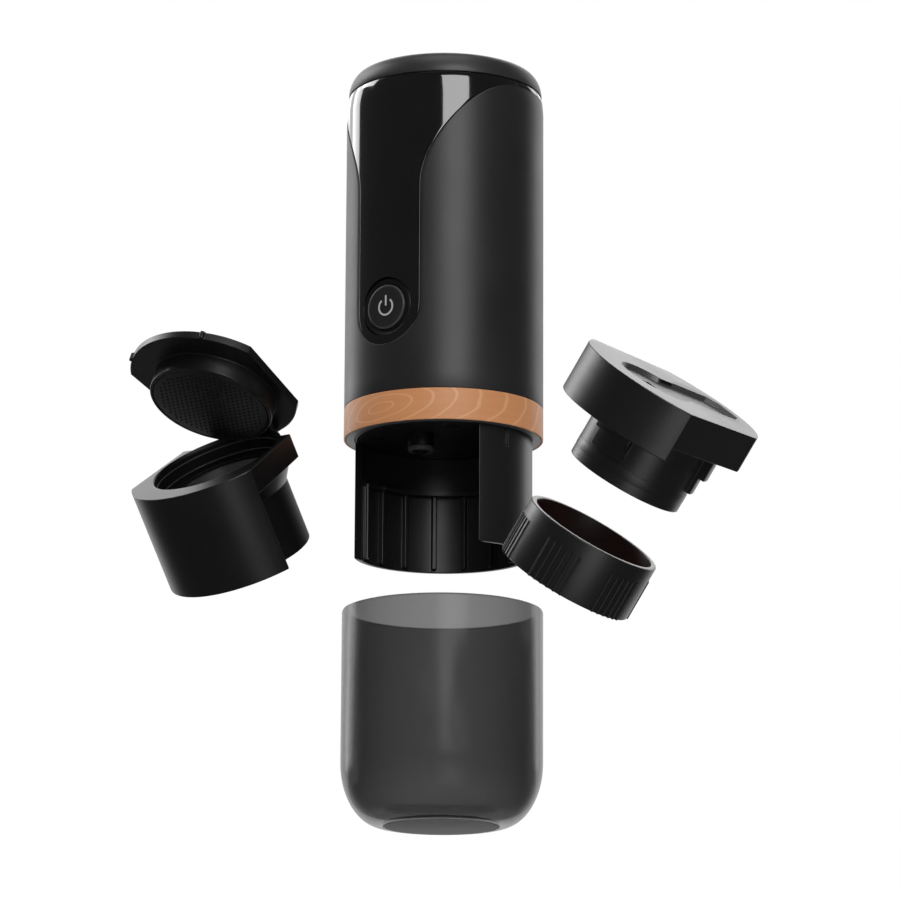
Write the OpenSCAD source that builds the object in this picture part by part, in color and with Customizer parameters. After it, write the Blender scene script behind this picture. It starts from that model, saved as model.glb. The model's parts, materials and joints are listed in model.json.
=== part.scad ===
// Portable coffee machine laid out as an exploded set: the machine over its cup,
// the brew holder in front with its lid open, the adapter and its ring at the side.
// The origin is the centre of the cup's base, +Z is up and the machine faces -Y.

/* [Body] */
// Outer radius of the sleeve, the wood band and the cup
body_r = 35; // [34:0.5:40]
// Height of the casing from the wood band to the cap
casing_h = 113.8; // [110:0.2:130]
// Wall of the outer sleeve
sleeve_wall = 1.6; // [1.2:0.1:2]
// Wall of the gloss inner housing
housing_wall = 1.4; // [1:0.1:1.8]
// How far the top of the sleeve draws in
shoulder_in = 0.6; // [0.2:0.1:0.9]
// Height over which the top of the sleeve draws in
shoulder_h = 7; // [4:0.5:10]
// Height of the wood band
band_h = 11.1; // [9:0.1:14]
// Gap between parts that are fitted together
fit_gap = 0.2; // [0.1:0.05:0.3]
// Gap between parts that move past each other
run_gap = 0.3; // [0.25:0.05:0.5]

/* [Front panel and button] */
// Half the width of the gloss front panel
panel_half_w = 13.1; // [12:0.1:14.5]
// Radius of the flare that opens the panel towards the cap
flare_r = 30; // [26:0.5:31]
// Height of the gloss collar left under the cap
collar_h = 1.8; // [1:0.1:3]
// How far the panel lies under the face of the sleeve
panel_sunk = 0.3; // [0.1:0.1:0.6]
// Height of the power button above the wood band
button_up = 30.5; // [28:0.5:36]
// Radius of the power button
button_r = 7.9; // [6.5:0.1:8.5]
// Width of the bezel around the button
bezel_w = 2; // [1.5:0.1:2.2]
// Travel of the power button
button_travel = 1.2; // [0.8:0.1:1.5]

/* [Cap and tank] */
// Height of the cap
cap_h = 8; // [6:0.5:12]
// How far the flank of the cap draws in
cap_draw = 5.4; // [4:0.2:8]
// Depth of the plug under the cap
plug_h = 6; // [5:0.5:9]
// Wall of the water tank
tank_wall = 1.6; // [1.2:0.1:2.4]

/* [Brew bay] */
// Room between the brew skirt and the cup that is pushed over it
cup_gap = 1.2; // [0.8:0.1:2]
// Length of the brew skirt under the wood band
skirt_h = 41.3; // [40:0.1:50]
// Wall of the brew skirt
skirt_wall = 1.8; // [1.4:0.1:2.2]
// How far each edge of the bay's front window lies inside the skirt's side
window_in = 4.25; // [4:0.05:5.5]
// Height of the slot between the bay's ceiling and its ledge
slot_h = 12.7; // [12.4:0.1:14]
// Width of the ledge that carries a brew holder
ledge_w = 3.9; // [3:0.1:4.5]
// Angle from one rib of the bay to the next
rib_pitch = 21.5; // [18:0.5:26]
// Distance of the outlet nozzle in front of the axis
nozzle_out = 13.2; // [12:0.2:14]
// Radius of the outlet nozzle
nozzle_r = 4.5; // [4:0.1:5]
// How far the nozzle hangs under the ceiling
nozzle_drop = 6.4; // [5:0.2:7]

/* [Brew holder] */
// Height of the holder body
holder_h = 37.8; // [36:0.2:46]
// Room for the hinge behind the mouth that takes the lid's boss
hinge_room = 6.5; // [6.4:0.1:7.6]
// Radius of the drum that holds the basket
drum_r = 20.8; // [19:0.1:21.2]
// Wall of the drum
drum_wall = 2.3; // [1.8:0.1:2.8]
// Thickness of the lid
lid_t = 3; // [2.4:0.1:3.2]
// Depth of the lid's boss with its shower plate
boss_h = 6.7; // [6:0.1:7.6]
// Radius of the hinge pin
pin_r = 0.9; // [0.7:0.05:1]
// Angle at which the lid stands open
lid_open = 59; // [30:1:75]

/* [Adapter and ring] */
// Height of the adapter's front
front_h = 16.5; // [15:0.5:20]
// Height of the adapter from its top to the end of the spigot
adapter_h = 32.8; // [31:0.2:40]
// Radius of the spigot
spigot_r = 19; // [18:0.1:19.6]
// Wall of the spigot
spigot_wall = 2.6; // [2:0.1:3.2]
// Height of the retaining ring
ring_h = 18.5; // [15:0.5:24]
// Wall of the retaining ring
ring_wall = 1.85; // [1.5:0.05:2.4]
// Number of rib groups on the ring
rib_groups = 6; // [4:1:8]

/* [Cup] */
// Height of the cup
cup_h = 75.5; // [70:0.5:95]
// Wall of the cup
cup_wall = 2.6; // [2:0.1:3]
// Radius of the cup's flat base
base_r = 20.5; // [18:0.5:24]
// Height of the rounding at the foot of the cup
foot_h = 22; // [16:0.5:28]

/* [Exploded layout] */
// Height of the wood band above the rim of the cup
cup_drop = 60.7; // [55:0.1:80]
// Distance of the holder in front of the axis
holder_out = 59; // [50:0.1:120]
// Distance of the holder to the left of the axis
holder_side = 54.8; // [45:0.1:90]
// Drop of the holder's top under the wood band
holder_drop = 10.3; // [0:0.1:45]
// Forward tilt of the holder
holder_tilt = 35.8; // [0:0.1:45]
// Distance of the adapter beside the axis
adapter_side = 164; // [125:0.1:190]
// Distance of the adapter in front of the axis
adapter_out = 99.3; // [0:0.1:120]
// Drop of the adapter's top under the wood band
adapter_drop = 24.1; // [0:0.1:40]
// Sideways tilt of the adapter
adapter_tilt = 37.1; // [0:0.1:45]
// Turn of the adapter about its own axis
adapter_turn = 9.1; // [0:0.1:20]
// Distance of the ring from the end of the spigot
ring_away = 18.9; // [8:0.1:30]

/* [Inside] */
// Radius of a battery cell
cell_r = 9.25; // [9:0.05:9.5]
// Length of a battery cell
cell_l = 65; // [60:0.5:70]
// Radius of the pump motor
motor_r = 12; // [10:0.1:12.4]
// Length of the pump motor
motor_l = 32; // [26:0.5:38]
// Number of teeth on a pump gear
gear_teeth = 10; // [8:1:14]
// Pitch radius of a pump gear
gear_r = 4; // [3.6:0.1:4.2]

/* [Hidden] */
$fn = 96;

// Overshoot of a cutting tool past the face that it cuts
cut = 1;

// Heights in the machine's own frame, which starts at the underside of the wood band
machine_z = cup_h + cup_drop;
casing_top = band_h + casing_h;
sleeve_top = casing_top - collar_h;
button_z = band_h + button_up;
deck_t = 3;
deck_z = band_h - deck_t;
upper_deck_t = 2.5;
upper_deck_z = band_h + cell_l + fit_gap;
tank_z = upper_deck_z + upper_deck_t;
tank_floor = 2;
tank_down = 0.8;
tank_top = casing_top - tank_down;

// Radii of the casing, from the outside in
sleeve_in_r = body_r - sleeve_wall;
housing_r = sleeve_in_r - fit_gap;
housing_in_r = housing_r - housing_wall;
panel_r = body_r - panel_sunk;
collar_r = body_r - shoulder_in;
inner_r = housing_in_r - run_gap;
tank_in_r = inner_r - tank_wall;

// Front panel: a slot with a round foot that flares out to both sides under the cap
flare_z = sleeve_top - flare_r;
flare_az = asin(panel_half_w / body_r) + asin(flare_r / body_r);

// Power button, its bezel and its switch, measured along -Y from the axis
bezel_in_r = button_r + run_gap;
bezel_r = bezel_in_r + bezel_w;
bezel_hole_r = bezel_r + fit_gap;
bezel_front = sqrt(panel_r * panel_r - bezel_r * bezel_r);
bezel_in = 2.2;
bezel_back = housing_in_r - bezel_in;
button_proud = 0.8;
button_front = bezel_front + button_proud;
button_flange_w = 0.7;
button_flange_r = bezel_in_r + button_flange_w;
button_flange_t = 1;
button_flange_back = bezel_back - run_gap - button_flange_t;
stem_r = 2.4;
switch_w = 7;
switch_d = 3.5;
board_t = 1.6;
stem_entry = 0.8;
switch_room = 0.6;
switch_floor = 0.6;
switch_front = button_flange_back - button_travel - switch_room;
board_front = switch_front - switch_d;
board_back = board_front - board_t;
board_w = 26;
board_h = 46;

// Base deck, band seat and bay ceiling
flange_t = 1;
flange_in = 0.8;
flange_r = body_r - flange_in;
band_room = 2.2;
deck_r = body_r - band_room;
band_in_r = deck_r + fit_gap;
skirt_r = body_r - cup_wall - cup_gap;
window_half_w = skirt_r - window_in;
skirt_seat = 0.1;
seat_r = skirt_r - skirt_seat;
head_r = seat_r - fit_gap;
head_t = 4;
skirt_in_r = skirt_r - skirt_wall;
ledge_r = skirt_in_r - ledge_w;
ledge_t = 1.5;
bay_rib_w = 1.6;
bay_rib_d = 2;
bay_rib_end = 1;
rib_clear_az = 66;
notch_w = 1.4;
notch_eye_r = 1;
notch_h = 6.4;
notch_az = 81;
screw_r = 1.2;
thread_gap = 0.05;
screw_head_r = 2.4;
screw_head_h = 1.8;
screw_l = 5;
screw_ring_r = 23;
screw_azs = [30, 150, 225, 315];
screw_boss_r = 3;
nozzle_flange_w = 1.5;
nozzle_flange_r = nozzle_r + nozzle_flange_w;
nozzle_flange_t = 2;
nozzle_tip_in = 1.4;
nozzle_tip_r = nozzle_r - nozzle_tip_in;
nozzle_tip_h = 1.8;
water_r = 1.5;
tube_wall = 0.6;
tube_r = water_r + tube_wall;

// Battery cells behind the axis, with their cradle
cell_apart = 3.25;
cell_x = cell_r + cell_apart;
cradle_wall = 1.2;
cradle_out_r = cell_r + fit_gap + cradle_wall;
cell_margin = 0.9;
cell_ring_r = inner_r - cell_margin - cradle_out_r;
cell_y = sqrt(cell_ring_r * cell_ring_r - cell_x * cell_x);
cradle_h = 14;
post_r = 2.2;
post_in = 4.5;
post_ring_r = inner_r - post_in;
post_azs = [10, 170, 230, 310];

// Gear pump under its motor: the largest round body between the control board and the two cradles
pump_gap = 0.6;
pump_span = cell_y + board_back - pump_gap;
cradle_reach = cradle_out_r + fit_gap;
pump_r = (pump_span * pump_span + cell_x * cell_x - cradle_reach * cradle_reach)
    / (2 * (pump_span + cradle_reach));
pump_y = pump_r + pump_gap - board_back;
pump_h = 14;
gear_gap = 0.15;
tooth_h = 0.62;
gear_h = 6;
chamber_r = gear_r + tooth_h + gear_gap;
chamber_h = gear_h + 2 * run_gap;
cover_t = 4;
shaft_r = 1.5;
shaft_gap = 0.06;
shaft_in_motor = 20;
idler_pin_r = 1.4;
pump_z = band_h;
gear_z = pump_z + pump_h - chamber_h + run_gap;
cover_z = pump_z + pump_h;
motor_z = cover_z + cover_t;
inlet_x = motor_r - gear_r + tube_r + run_gap;

// Charge socket behind the cells, with the hole that its rubber plug closes
port_up = 10;
port_z = band_h + port_up;
charge_board_w = 18;
charge_board_h = 21;
charge_board_y = cell_y + cradle_out_r + fit_gap;
socket_w = 9;
socket_t = 3.4;
socket_wall = 0.35;
socket_y = charge_board_y + board_t;
socket_end = housing_in_r + fit_gap;
port_plug_w = 11.4;
port_plug_h = 6.4;
plug_nose = 3;

// Cap with its plug in the tank's mouth
cap_seam = 0.3;
cap_z = casing_top + cap_seam;
cap_plug_r = tank_in_r - run_gap;
gasket_w = 1.1;
gasket_t = 2;
gasket_up = 1.8;
cap_steps = 12;

// Brew holder and adapter share the plan of the bay: an arc in front, two flats, an arc behind
door_r = skirt_r;
block_half_w = window_half_w - run_gap;
block_r = skirt_in_r - run_gap;
door_y = sqrt(door_r * door_r - block_half_w * block_half_w);
lid_gap = 0.2;
block_h = slot_h - 2 * run_gap - lid_t - lid_gap;
flat_draw = 5;
block_back = 14;
mouth_r = block_r - hinge_room;
mouth_wall = 1.6;
mouth_out_r = mouth_r + mouth_wall;
lead_w = 0.5;
lead_h = 1.2;
cone_h = 6;
basket_flange_t = 0.8;
basket_gasket_t = 1.2;
mouth_depth = boss_h + run_gap + basket_gasket_t + basket_flange_t;
holder_floor = 3;
bore_r = drum_r - drum_wall;
basket_wall = 0.6;
basket_room = 3;
basket_depth = holder_h - mouth_depth - holder_floor - basket_room;
basket_hole_r = 0.6;
basket_rings = 3;
spout_r = 3.5;
door_wall = 2.2;
knuckle_r = 1.8;
hinge_wall = 0.6;
hinge_y = mouth_r + hinge_wall + knuckle_r;
hinge_z = -2.2;
knuckle_half = 4.5;
lug_end = 8.3;
pin_gap = 0.02;
boss_gap = 0.7;
boss_r = mouth_r - boss_gap;
boss_rim = 1.3;
shower_r = boss_r - boss_rim;
shower_seat = 1;
shower_t = 1.2;
shower_room = 4;
shower_hole_r = 0.7;
shower_rings = 4;
shower_pitch = 4.2;
lid_seal_w = 0.6;
lid_seal_r = nozzle_r + lid_seal_w;
lid_seal_t = 1.5;
tab_w = 1.4;
tab_out = 0.9;
tab_azs = [-42, 27];

// Adapter: pocket for the nozzle, hollow spigot with bayonet lugs, and the ring around it
adapter_block_h = slot_h - 2 * run_gap;
pocket_depth = nozzle_drop + fit_gap;
pocket_r = 12;
pocket_front = -10;
pocket_back = 14;
pocket_neck = 7.5;
chamber_roof = 14;
inlet_w = 4;
core_wall = 2.2;
core_roof = 2.4;
spigot_collar = 0.8;
lug_root = 0.5;
screen_t = 1.2;
seal_w = 1.6;
seal_t = 2;
seal_up = 3.5;
seal_sunk = 0.8;
lug_step_h = 5.7;
lug_azs = [45, 165, 285];
lug_span = 36;
ring_room = 0.35;
ring_in_r = spigot_r + seal_w - seal_sunk + run_gap + ring_room;
ring_r = ring_in_r + ring_wall;
lug_r = ring_r;
lug_top_h = 7.6;
rib_w = 0.7;
rib_out = 0.35;
ribs_in_group = 5;
rib_step = 5;
rib_short = 5;
ring_rib_h = ring_h - rib_short;

// Cup with a shallow recess for its pad
pad_in = 0.6;
pad_r = base_r - pad_in;
pad_t = 1.5;
pad_proud = 0.2;
cup_steps = 14;
rim_cut = 0.6;

function arc_points(r, from, to, steps) =
    [for (i = [0:steps]) let (a = from + (to - from) * i / steps) [r * cos(a), r * sin(a)]];

// Points of a quarter ellipse that starts at the foot and ends on the wall
function foot_curve(flat_r, wall_r, h, steps) =
    [for (i = [0:steps]) let (a = 90 * i / steps) [flat_r + (wall_r - flat_r) * sin(a), h * (1 - cos(a))]];

// Points of a pump gear with rounded lobes
function gear_points(r, depth, teeth, turn) =
    [for (i = [0:12 * teeth - 1]) let (a = 30 * i / teeth, q = r + depth * cos(teeth * a + turn))
        [q * cos(a), q * sin(a)]];

module at_machine() {
    translate([0, 0, machine_z]) children();
}

module at_holder() {
    translate([-holder_side, -holder_out, machine_z - holder_drop]) rotate([holder_tilt, 0, 0]) children();
}

module at_lid() {
    at_holder()
        translate([0, hinge_y, hinge_z])
            rotate([-lid_open, 0, 0])
                translate([0, -hinge_y, -hinge_z]) children();
}

module at_adapter() {
    translate([adapter_side, -adapter_out, machine_z - adapter_drop])
        rotate([0, adapter_tilt, 0])
            rotate([0, 0, -adapter_turn]) children();
}

// Turns a piece that is built upwards so that it points forwards from the axis
module forwards(z) {
    translate([0, 0, z]) rotate([90, 0, 0]) children();
}

module tube(r_out, r_in, h) {
    difference() {
        cylinder(r = r_out, h = h);
        translate([0, 0, -cut]) cylinder(r = r_in, h = h + 2 * cut);
    }
}

module centred_box(w, d, h) {
    translate([-w / 2, -d / 2, 0]) cube([w, d, h]);
}

// A pie slice of the ring between two radii, centred on the front
module front_slice(r_out, half_az, h) {
    rotate([0, 0, -90 - half_az]) rotate_extrude(angle = 2 * half_az) square([r_out, h]);
}

module ring_of_holes(r, count, hole_r, h) {
    for (i = [0:count - 1]) rotate([0, 0, 360 * i / count])
        translate([r, 0, 0]) cylinder(r = hole_r, h = h, $fn = 24);
}

// Perforation in rings around one hole in the middle
module perforation(rings, pitch, hole_r, h) {
    cylinder(r = hole_r, h = h, $fn = 24);
    for (i = [1:rings]) ring_of_holes(i * pitch, 6 * i, hole_r, h);
}

// The region of the front panel, made smaller by a gap on every edge
module panel_region(gap) {
    half_w = panel_half_w - gap;
    reach = body_r + cut;
    forwards(button_z) cylinder(r = half_w, h = reach);
    translate([-half_w, -reach, button_z]) cube([2 * half_w, reach, sleeve_top + cut - button_z]);
    difference() {
        translate([0, 0, flare_z]) front_slice(reach, flare_az, flare_r + cut);
        for (side = [-1, 1]) rotate([0, 0, side * flare_az])
            forwards(flare_z) cylinder(r = flare_r + gap, h = 2 * reach);
    }
}

module port_opening(w, h, from_y) {
    translate([-w / 2, from_y, port_z - h / 2]) cube([w, body_r, h]);
}

module sleeve() {
    shoulder = [for (i = [1:4]) let (a = 90 * i / 4)
        [body_r - shoulder_in * (1 - cos(a)), casing_top - shoulder_h * (1 - i / 4)]];
    profile = concat([[sleeve_in_r, band_h], [body_r, band_h], [body_r, casing_top - shoulder_h]], shoulder,
        [[sleeve_in_r, casing_top]]);
    color("dimgray") at_machine() difference() {
        rotate_extrude() polygon(profile);
        translate([0, 0, sleeve_top]) cylinder(r = 2 * body_r, h = shoulder_h);
        panel_region(0);
        port_opening(port_plug_w + 2 * run_gap, port_plug_h + 2 * run_gap, inner_r);
    }
}

module inner_housing() {
    color("black") at_machine() difference() {
        union() {
            translate([0, 0, band_h]) tube(housing_r, housing_in_r, casing_h);
            intersection() {
                translate([0, 0, band_h]) tube(panel_r, housing_in_r, casing_h - collar_h);
                panel_region(fit_gap);
            }
            translate([0, 0, sleeve_top + fit_gap]) tube(collar_r, housing_in_r, collar_h - fit_gap);
        }
        forwards(button_z) cylinder(r = bezel_hole_r, h = 2 * body_r);
        port_opening(socket_w + 2 * fit_gap, socket_t + 2 * fit_gap, socket_y);
    }
}

module wood_band() {
    color("peru") at_machine() difference() {
        tube(body_r, band_in_r, band_h);
        translate([0, 0, -cut]) cylinder(r = flange_r + fit_gap, h = flange_t + fit_gap + cut);
    }
}

module base_deck() {
    color("gray") at_machine() difference() {
        union() {
            tube(flange_r, seat_r, flange_t);
            tube(deck_r, seat_r, band_h);
            translate([0, 0, deck_z]) cylinder(r = deck_r, h = deck_t);
            for (az = screw_azs) rotate([0, 0, az])
                translate([screw_ring_r, 0, head_t]) cylinder(r = screw_boss_r, h = band_h - head_t);
        }
        for (az = screw_azs) rotate([0, 0, az])
            translate([screw_ring_r, 0, 0]) cylinder(r = screw_r + thread_gap, h = deck_z);
        translate([0, -nozzle_out, 0]) cylinder(r = tube_r + fit_gap, h = 2 * band_h);
    }
}

module brew_skirt() {
    rib_count = floor((360 - 2 * rib_clear_az) / rib_pitch);
    reach = 2 * skirt_r;
    color([0.2, 0.2, 0.2]) at_machine() difference() {
        union() {
            translate([0, 0, -skirt_h]) tube(skirt_r, skirt_in_r, skirt_h);
            translate([0, 0, -slot_h - ledge_t]) tube(skirt_in_r + fit_gap, ledge_r, ledge_t);
            for (i = [0:rib_count]) rotate([0, 0, 90 + (i - rib_count / 2) * rib_pitch])
                translate([skirt_in_r - bay_rib_d, -bay_rib_w / 2, bay_rib_end - skirt_h])
                    cube([bay_rib_d + fit_gap, bay_rib_w, skirt_h - slot_h - ledge_t / 2 - bay_rib_end]);
        }
        translate([-window_half_w, -reach, -skirt_h - cut])
            cube([2 * window_half_w, reach, skirt_h + 2 * cut]);
        for (side = [-1, 1]) rotate([0, 0, side * notch_az]) {
            translate([-notch_w / 2, -skirt_r - cut, -notch_h])
                cube([notch_w, skirt_wall / 2 + cut, notch_h + cut]);
            forwards(-notch_h) translate([0, 0, skirt_r - skirt_wall / 2])
                cylinder(r = notch_eye_r, h = skirt_wall);
        }
    }
}

module brew_head() {
    color([0.15, 0.15, 0.15]) at_machine() difference() {
        cylinder(r = head_r, h = head_t);
        translate([0, -nozzle_out, -cut]) cylinder(r = nozzle_r + fit_gap, h = head_t + 2 * cut);
        translate([0, -nozzle_out, head_t - nozzle_flange_t])
            cylinder(r = nozzle_flange_r + fit_gap, h = head_t);
        for (az = screw_azs) rotate([0, 0, az]) translate([screw_ring_r, 0, 0]) {
            translate([0, 0, -cut]) cylinder(r = screw_r + fit_gap, h = head_t + 2 * cut);
            translate([0, 0, -cut]) cylinder(r = screw_head_r + fit_gap, h = screw_head_h + cut);
        }
    }
}

module outlet_nozzle() {
    color([0.1, 0.1, 0.1]) at_machine() translate([0, -nozzle_out, 0]) difference() {
        union() {
            translate([0, 0, head_t - nozzle_flange_t]) cylinder(r = nozzle_flange_r, h = nozzle_flange_t);
            translate([0, 0, nozzle_tip_h - nozzle_drop])
                cylinder(r = nozzle_r, h = head_t + nozzle_drop - nozzle_tip_h);
            translate([0, 0, -nozzle_drop]) cylinder(r = nozzle_tip_r, h = nozzle_tip_h + cut);
        }
        translate([0, 0, -nozzle_drop - cut]) cylinder(r = water_r, h = nozzle_drop + head_t + 2 * cut);
    }
}

module nozzle_gasket() {
    color([0.25, 0.25, 0.25]) at_machine() translate([0, -nozzle_out, fit_gap - nozzle_drop])
        tube(nozzle_r, nozzle_tip_r, nozzle_tip_h - fit_gap);
}

module ceiling_screws() {
    color("silver") at_machine() for (az = screw_azs) rotate([0, 0, az]) translate([screw_ring_r, 0, 0]) {
        cylinder(r = screw_head_r, h = screw_head_h);
        cylinder(r = screw_r, h = screw_head_h + screw_l);
    }
}

module water_tank() {
    color([0.45, 0.47, 0.5]) at_machine() difference() {
        translate([0, 0, tank_z]) cylinder(r = inner_r, h = tank_top - tank_z);
        translate([0, 0, tank_z + tank_floor]) cylinder(r = tank_in_r, h = tank_top);
        translate([inlet_x, pump_y, tank_z - cut]) cylinder(r = water_r, h = tank_floor + 2 * cut);
    }
}

module upper_deck() {
    color("gray") at_machine() difference() {
        translate([0, 0, upper_deck_z]) cylinder(r = inner_r, h = upper_deck_t);
        translate([inlet_x, pump_y, upper_deck_z - cut])
            cylinder(r = tube_r + fit_gap, h = upper_deck_t + 2 * cut);
    }
}

module deck_posts() {
    color("silver") at_machine() for (az = post_azs) rotate([0, 0, az])
        translate([post_ring_r, 0, band_h]) cylinder(r = post_r, h = upper_deck_z - band_h);
}

module battery_cells() {
    color("seagreen") at_machine() for (side = [-1, 1])
        translate([side * cell_x, cell_y, band_h]) cylinder(r = cell_r, h = cell_l);
}

module cell_cradle() {
    color([0.3, 0.3, 0.3]) at_machine() translate([0, 0, band_h]) difference() {
        union() {
            for (side = [-1, 1]) translate([side * cell_x, cell_y, 0])
                cylinder(r = cradle_out_r, h = cradle_h);
            translate([0, cell_y, 0]) centred_box(2 * cell_x, cell_r, cradle_h);
        }
        for (side = [-1, 1]) translate([side * cell_x, cell_y, -cut])
            cylinder(r = cell_r + fit_gap, h = cradle_h + 2 * cut);
    }
}

module control_board() {
    color("darkgreen") at_machine()
        translate([-board_w / 2, -board_front, band_h]) cube([board_w, board_t, board_h]);
}

module button_switch() {
    color("dimgray") at_machine() difference() {
        translate([-switch_w / 2, -switch_front, button_z - switch_w / 2])
            cube([switch_w, switch_d, switch_w]);
        forwards(button_z) translate([0, 0, board_front + switch_floor])
            cylinder(r = stem_r + run_gap, h = switch_d);
    }
}

module button_bezel() {
    color([0.12, 0.12, 0.12]) at_machine() forwards(button_z)
        translate([0, 0, bezel_back]) tube(bezel_r, bezel_in_r, bezel_front - bezel_back);
}

module charge_board() {
    color("darkgreen") at_machine()
        translate([-charge_board_w / 2, charge_board_y, band_h])
            cube([charge_board_w, board_t, charge_board_h]);
}

module charge_socket() {
    depth = socket_end - socket_y;
    color("silver") at_machine() translate([0, socket_y, port_z]) difference() {
        translate([-socket_w / 2, 0, -socket_t / 2]) cube([socket_w, depth, socket_t]);
        translate([socket_wall - socket_w / 2, socket_wall, socket_wall - socket_t / 2])
            cube([socket_w - 2 * socket_wall, depth, socket_t - 2 * socket_wall]);
    }
}

module pump_axis(side) {
    translate([side * gear_r, pump_y, 0]) children();
}

module pump_body() {
    color([0.35, 0.35, 0.38]) at_machine() {
        difference() {
            translate([0, pump_y, pump_z]) cylinder(r = pump_r, h = pump_h);
            for (side = [-1, 1]) pump_axis(side)
                translate([0, 0, cover_z - chamber_h]) cylinder(r = chamber_r, h = chamber_h + cut);
            translate([0, -nozzle_out, pump_z - cut]) cylinder(r = water_r, h = pump_h - chamber_h);
        }
        pump_axis(1) translate([0, 0, cover_z - chamber_h]) cylinder(r = idler_pin_r, h = chamber_h);
    }
}

module pump_cover() {
    color([0.3, 0.3, 0.32]) at_machine() difference() {
        translate([0, pump_y, cover_z]) cylinder(r = pump_r, h = cover_t);
        pump_axis(-1) translate([0, 0, cover_z - cut])
            cylinder(r = shaft_r + shaft_gap, h = cover_t + 2 * cut);
        translate([inlet_x, pump_y, cover_z + cover_t / 2]) cylinder(r = water_r, h = cover_t);
    }
}

module pump_motor() {
    color("silver") at_machine() pump_axis(-1) translate([0, 0, motor_z]) difference() {
        cylinder(r = motor_r, h = motor_l);
        translate([0, 0, -cut]) cylinder(r = shaft_r + shaft_gap, h = shaft_in_motor + cut + run_gap);
    }
}

module inlet_tube() {
    color("white") at_machine() translate([inlet_x, pump_y, motor_z]) tube(tube_r, water_r, tank_z - motor_z);
}

module outlet_tube() {
    color("white") at_machine() translate([0, -nozzle_out, head_t]) tube(tube_r, water_r, pump_z - head_t);
}

module drive_gear() {
    color("gold") at_machine() pump_axis(-1) {
        translate([0, 0, gear_z]) linear_extrude(gear_h)
            polygon(gear_points(gear_r - gear_gap, tooth_h, gear_teeth, 0));
        translate([0, 0, gear_z]) cylinder(r = shaft_r, h = motor_z + shaft_in_motor - gear_z);
    }
}

module idler_gear() {
    turn = gear_teeth % 2 == 0 ? 180 : 0;
    color("gold") at_machine() pump_axis(1) translate([0, 0, gear_z]) difference() {
        linear_extrude(gear_h) polygon(gear_points(gear_r - gear_gap, tooth_h, gear_teeth, turn));
        translate([0, 0, -cut]) cylinder(r = idler_pin_r + shaft_gap, h = gear_h + 2 * cut);
    }
}

module cap() {
    flank = [for (i = [0:cap_steps]) let (a = 90 * i / cap_steps)
        [collar_r - cap_draw * (1 - cos(a)), cap_z + cap_h * sin(a)]];
    groove_z = cap_z - plug_h + gasket_up;
    profile = concat([[0, cap_z - plug_h], [cap_plug_r, cap_z - plug_h], [cap_plug_r, groove_z],
        [cap_plug_r - gasket_w, groove_z], [cap_plug_r - gasket_w, groove_z + gasket_t],
        [cap_plug_r, groove_z + gasket_t], [cap_plug_r, cap_z]], flank, [[0, cap_z + cap_h]]);
    color([0.22, 0.22, 0.22]) at_machine() rotate_extrude() polygon(profile);
}

module cap_gasket() {
    color([0.4, 0.4, 0.4]) at_machine() translate([0, 0, cap_z - plug_h + gasket_up])
        tube(cap_plug_r, cap_plug_r - gasket_w, gasket_t);
}

module power_button() {
    color([0.08, 0.08, 0.08]) at_machine() forwards(button_z) {
        translate([0, 0, button_flange_back]) cylinder(r = button_r, h = button_front - button_flange_back);
        translate([0, 0, button_flange_back]) cylinder(r = button_flange_r, h = button_flange_t);
        translate([0, 0, switch_front - stem_entry])
            cylinder(r = stem_r, h = button_flange_back - switch_front + stem_entry);
    }
}

module port_plug() {
    nose_w = socket_w - 2 * socket_wall - 2 * fit_gap;
    nose_t = socket_t - 2 * socket_wall - 2 * fit_gap;
    color([0.3, 0.3, 0.3]) at_machine() {
        intersection() {
            translate([-port_plug_w / 2, housing_in_r, port_z - port_plug_h / 2])
                cube([port_plug_w, 2 * sleeve_wall + 2 * housing_wall, port_plug_h]);
            translate([0, 0, band_h]) tube(panel_r, housing_r + run_gap, casing_h);
        }
        translate([-nose_w / 2, housing_in_r - plug_nose, port_z - nose_t / 2])
            cube([nose_w, plug_nose + housing_wall + 2 * run_gap, nose_t]);
    }
}

module cup() {
    inner_flat_r = base_r - cup_wall / 2;
    outer = concat(foot_curve(base_r, body_r, foot_h, cup_steps),
        [[body_r, cup_h - rim_cut], [body_r - rim_cut, cup_h]]);
    inner = [for (p = foot_curve(inner_flat_r, body_r - cup_wall, foot_h, cup_steps))
        [p[0], p[1] + cup_wall + pad_t]];
    color([0.3, 0.3, 0.3, 0.6]) difference() {
        translate([0, 0, pad_proud]) rotate_extrude() polygon(concat([[0, 0]], outer, [[0, cup_h]]));
        translate([0, 0, pad_proud]) rotate_extrude()
            polygon(concat([[0, inner[0][1]]], inner, [[body_r - cup_wall, cup_h + cut], [0, cup_h + cut]]));
        translate([0, 0, -cut]) cylinder(r = pad_r + fit_gap, h = pad_t + cut);
    }
}

module cup_pad() {
    color([0.45, 0.45, 0.45]) cylinder(r = pad_r, h = pad_t);
}

// Plan of the bay: an arc in front, two flats that draw in towards the back, an arc behind
module bay_plan(front_r, half_w, back_r) {
    reach = 2 * front_r;
    rear_half_w = half_w - (reach + door_y) * tan(flat_draw);
    intersection() {
        polygon([[-half_w, -reach], [half_w, -reach], [half_w, -door_y], [rear_half_w, reach],
            [-rear_half_w, reach], [-half_w, -door_y]]);
        union() {
            intersection() {
                circle(r = front_r);
                translate([-reach, -reach]) square([2 * reach, reach]);
            }
            intersection() {
                circle(r = back_r);
                translate([-reach, -cut]) square([2 * reach, reach]);
            }
        }
    }
}

// Plan of the door in front of a straight chord
module door_plan(r, chord) {
    intersection() {
        circle(r = r);
        translate([-2 * r, -2 * r]) square([4 * r, 2 * r - chord]);
    }
}

module across(y, z, half) {
    translate([-half, y, z]) rotate([0, 90, 0]) children();
}

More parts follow.
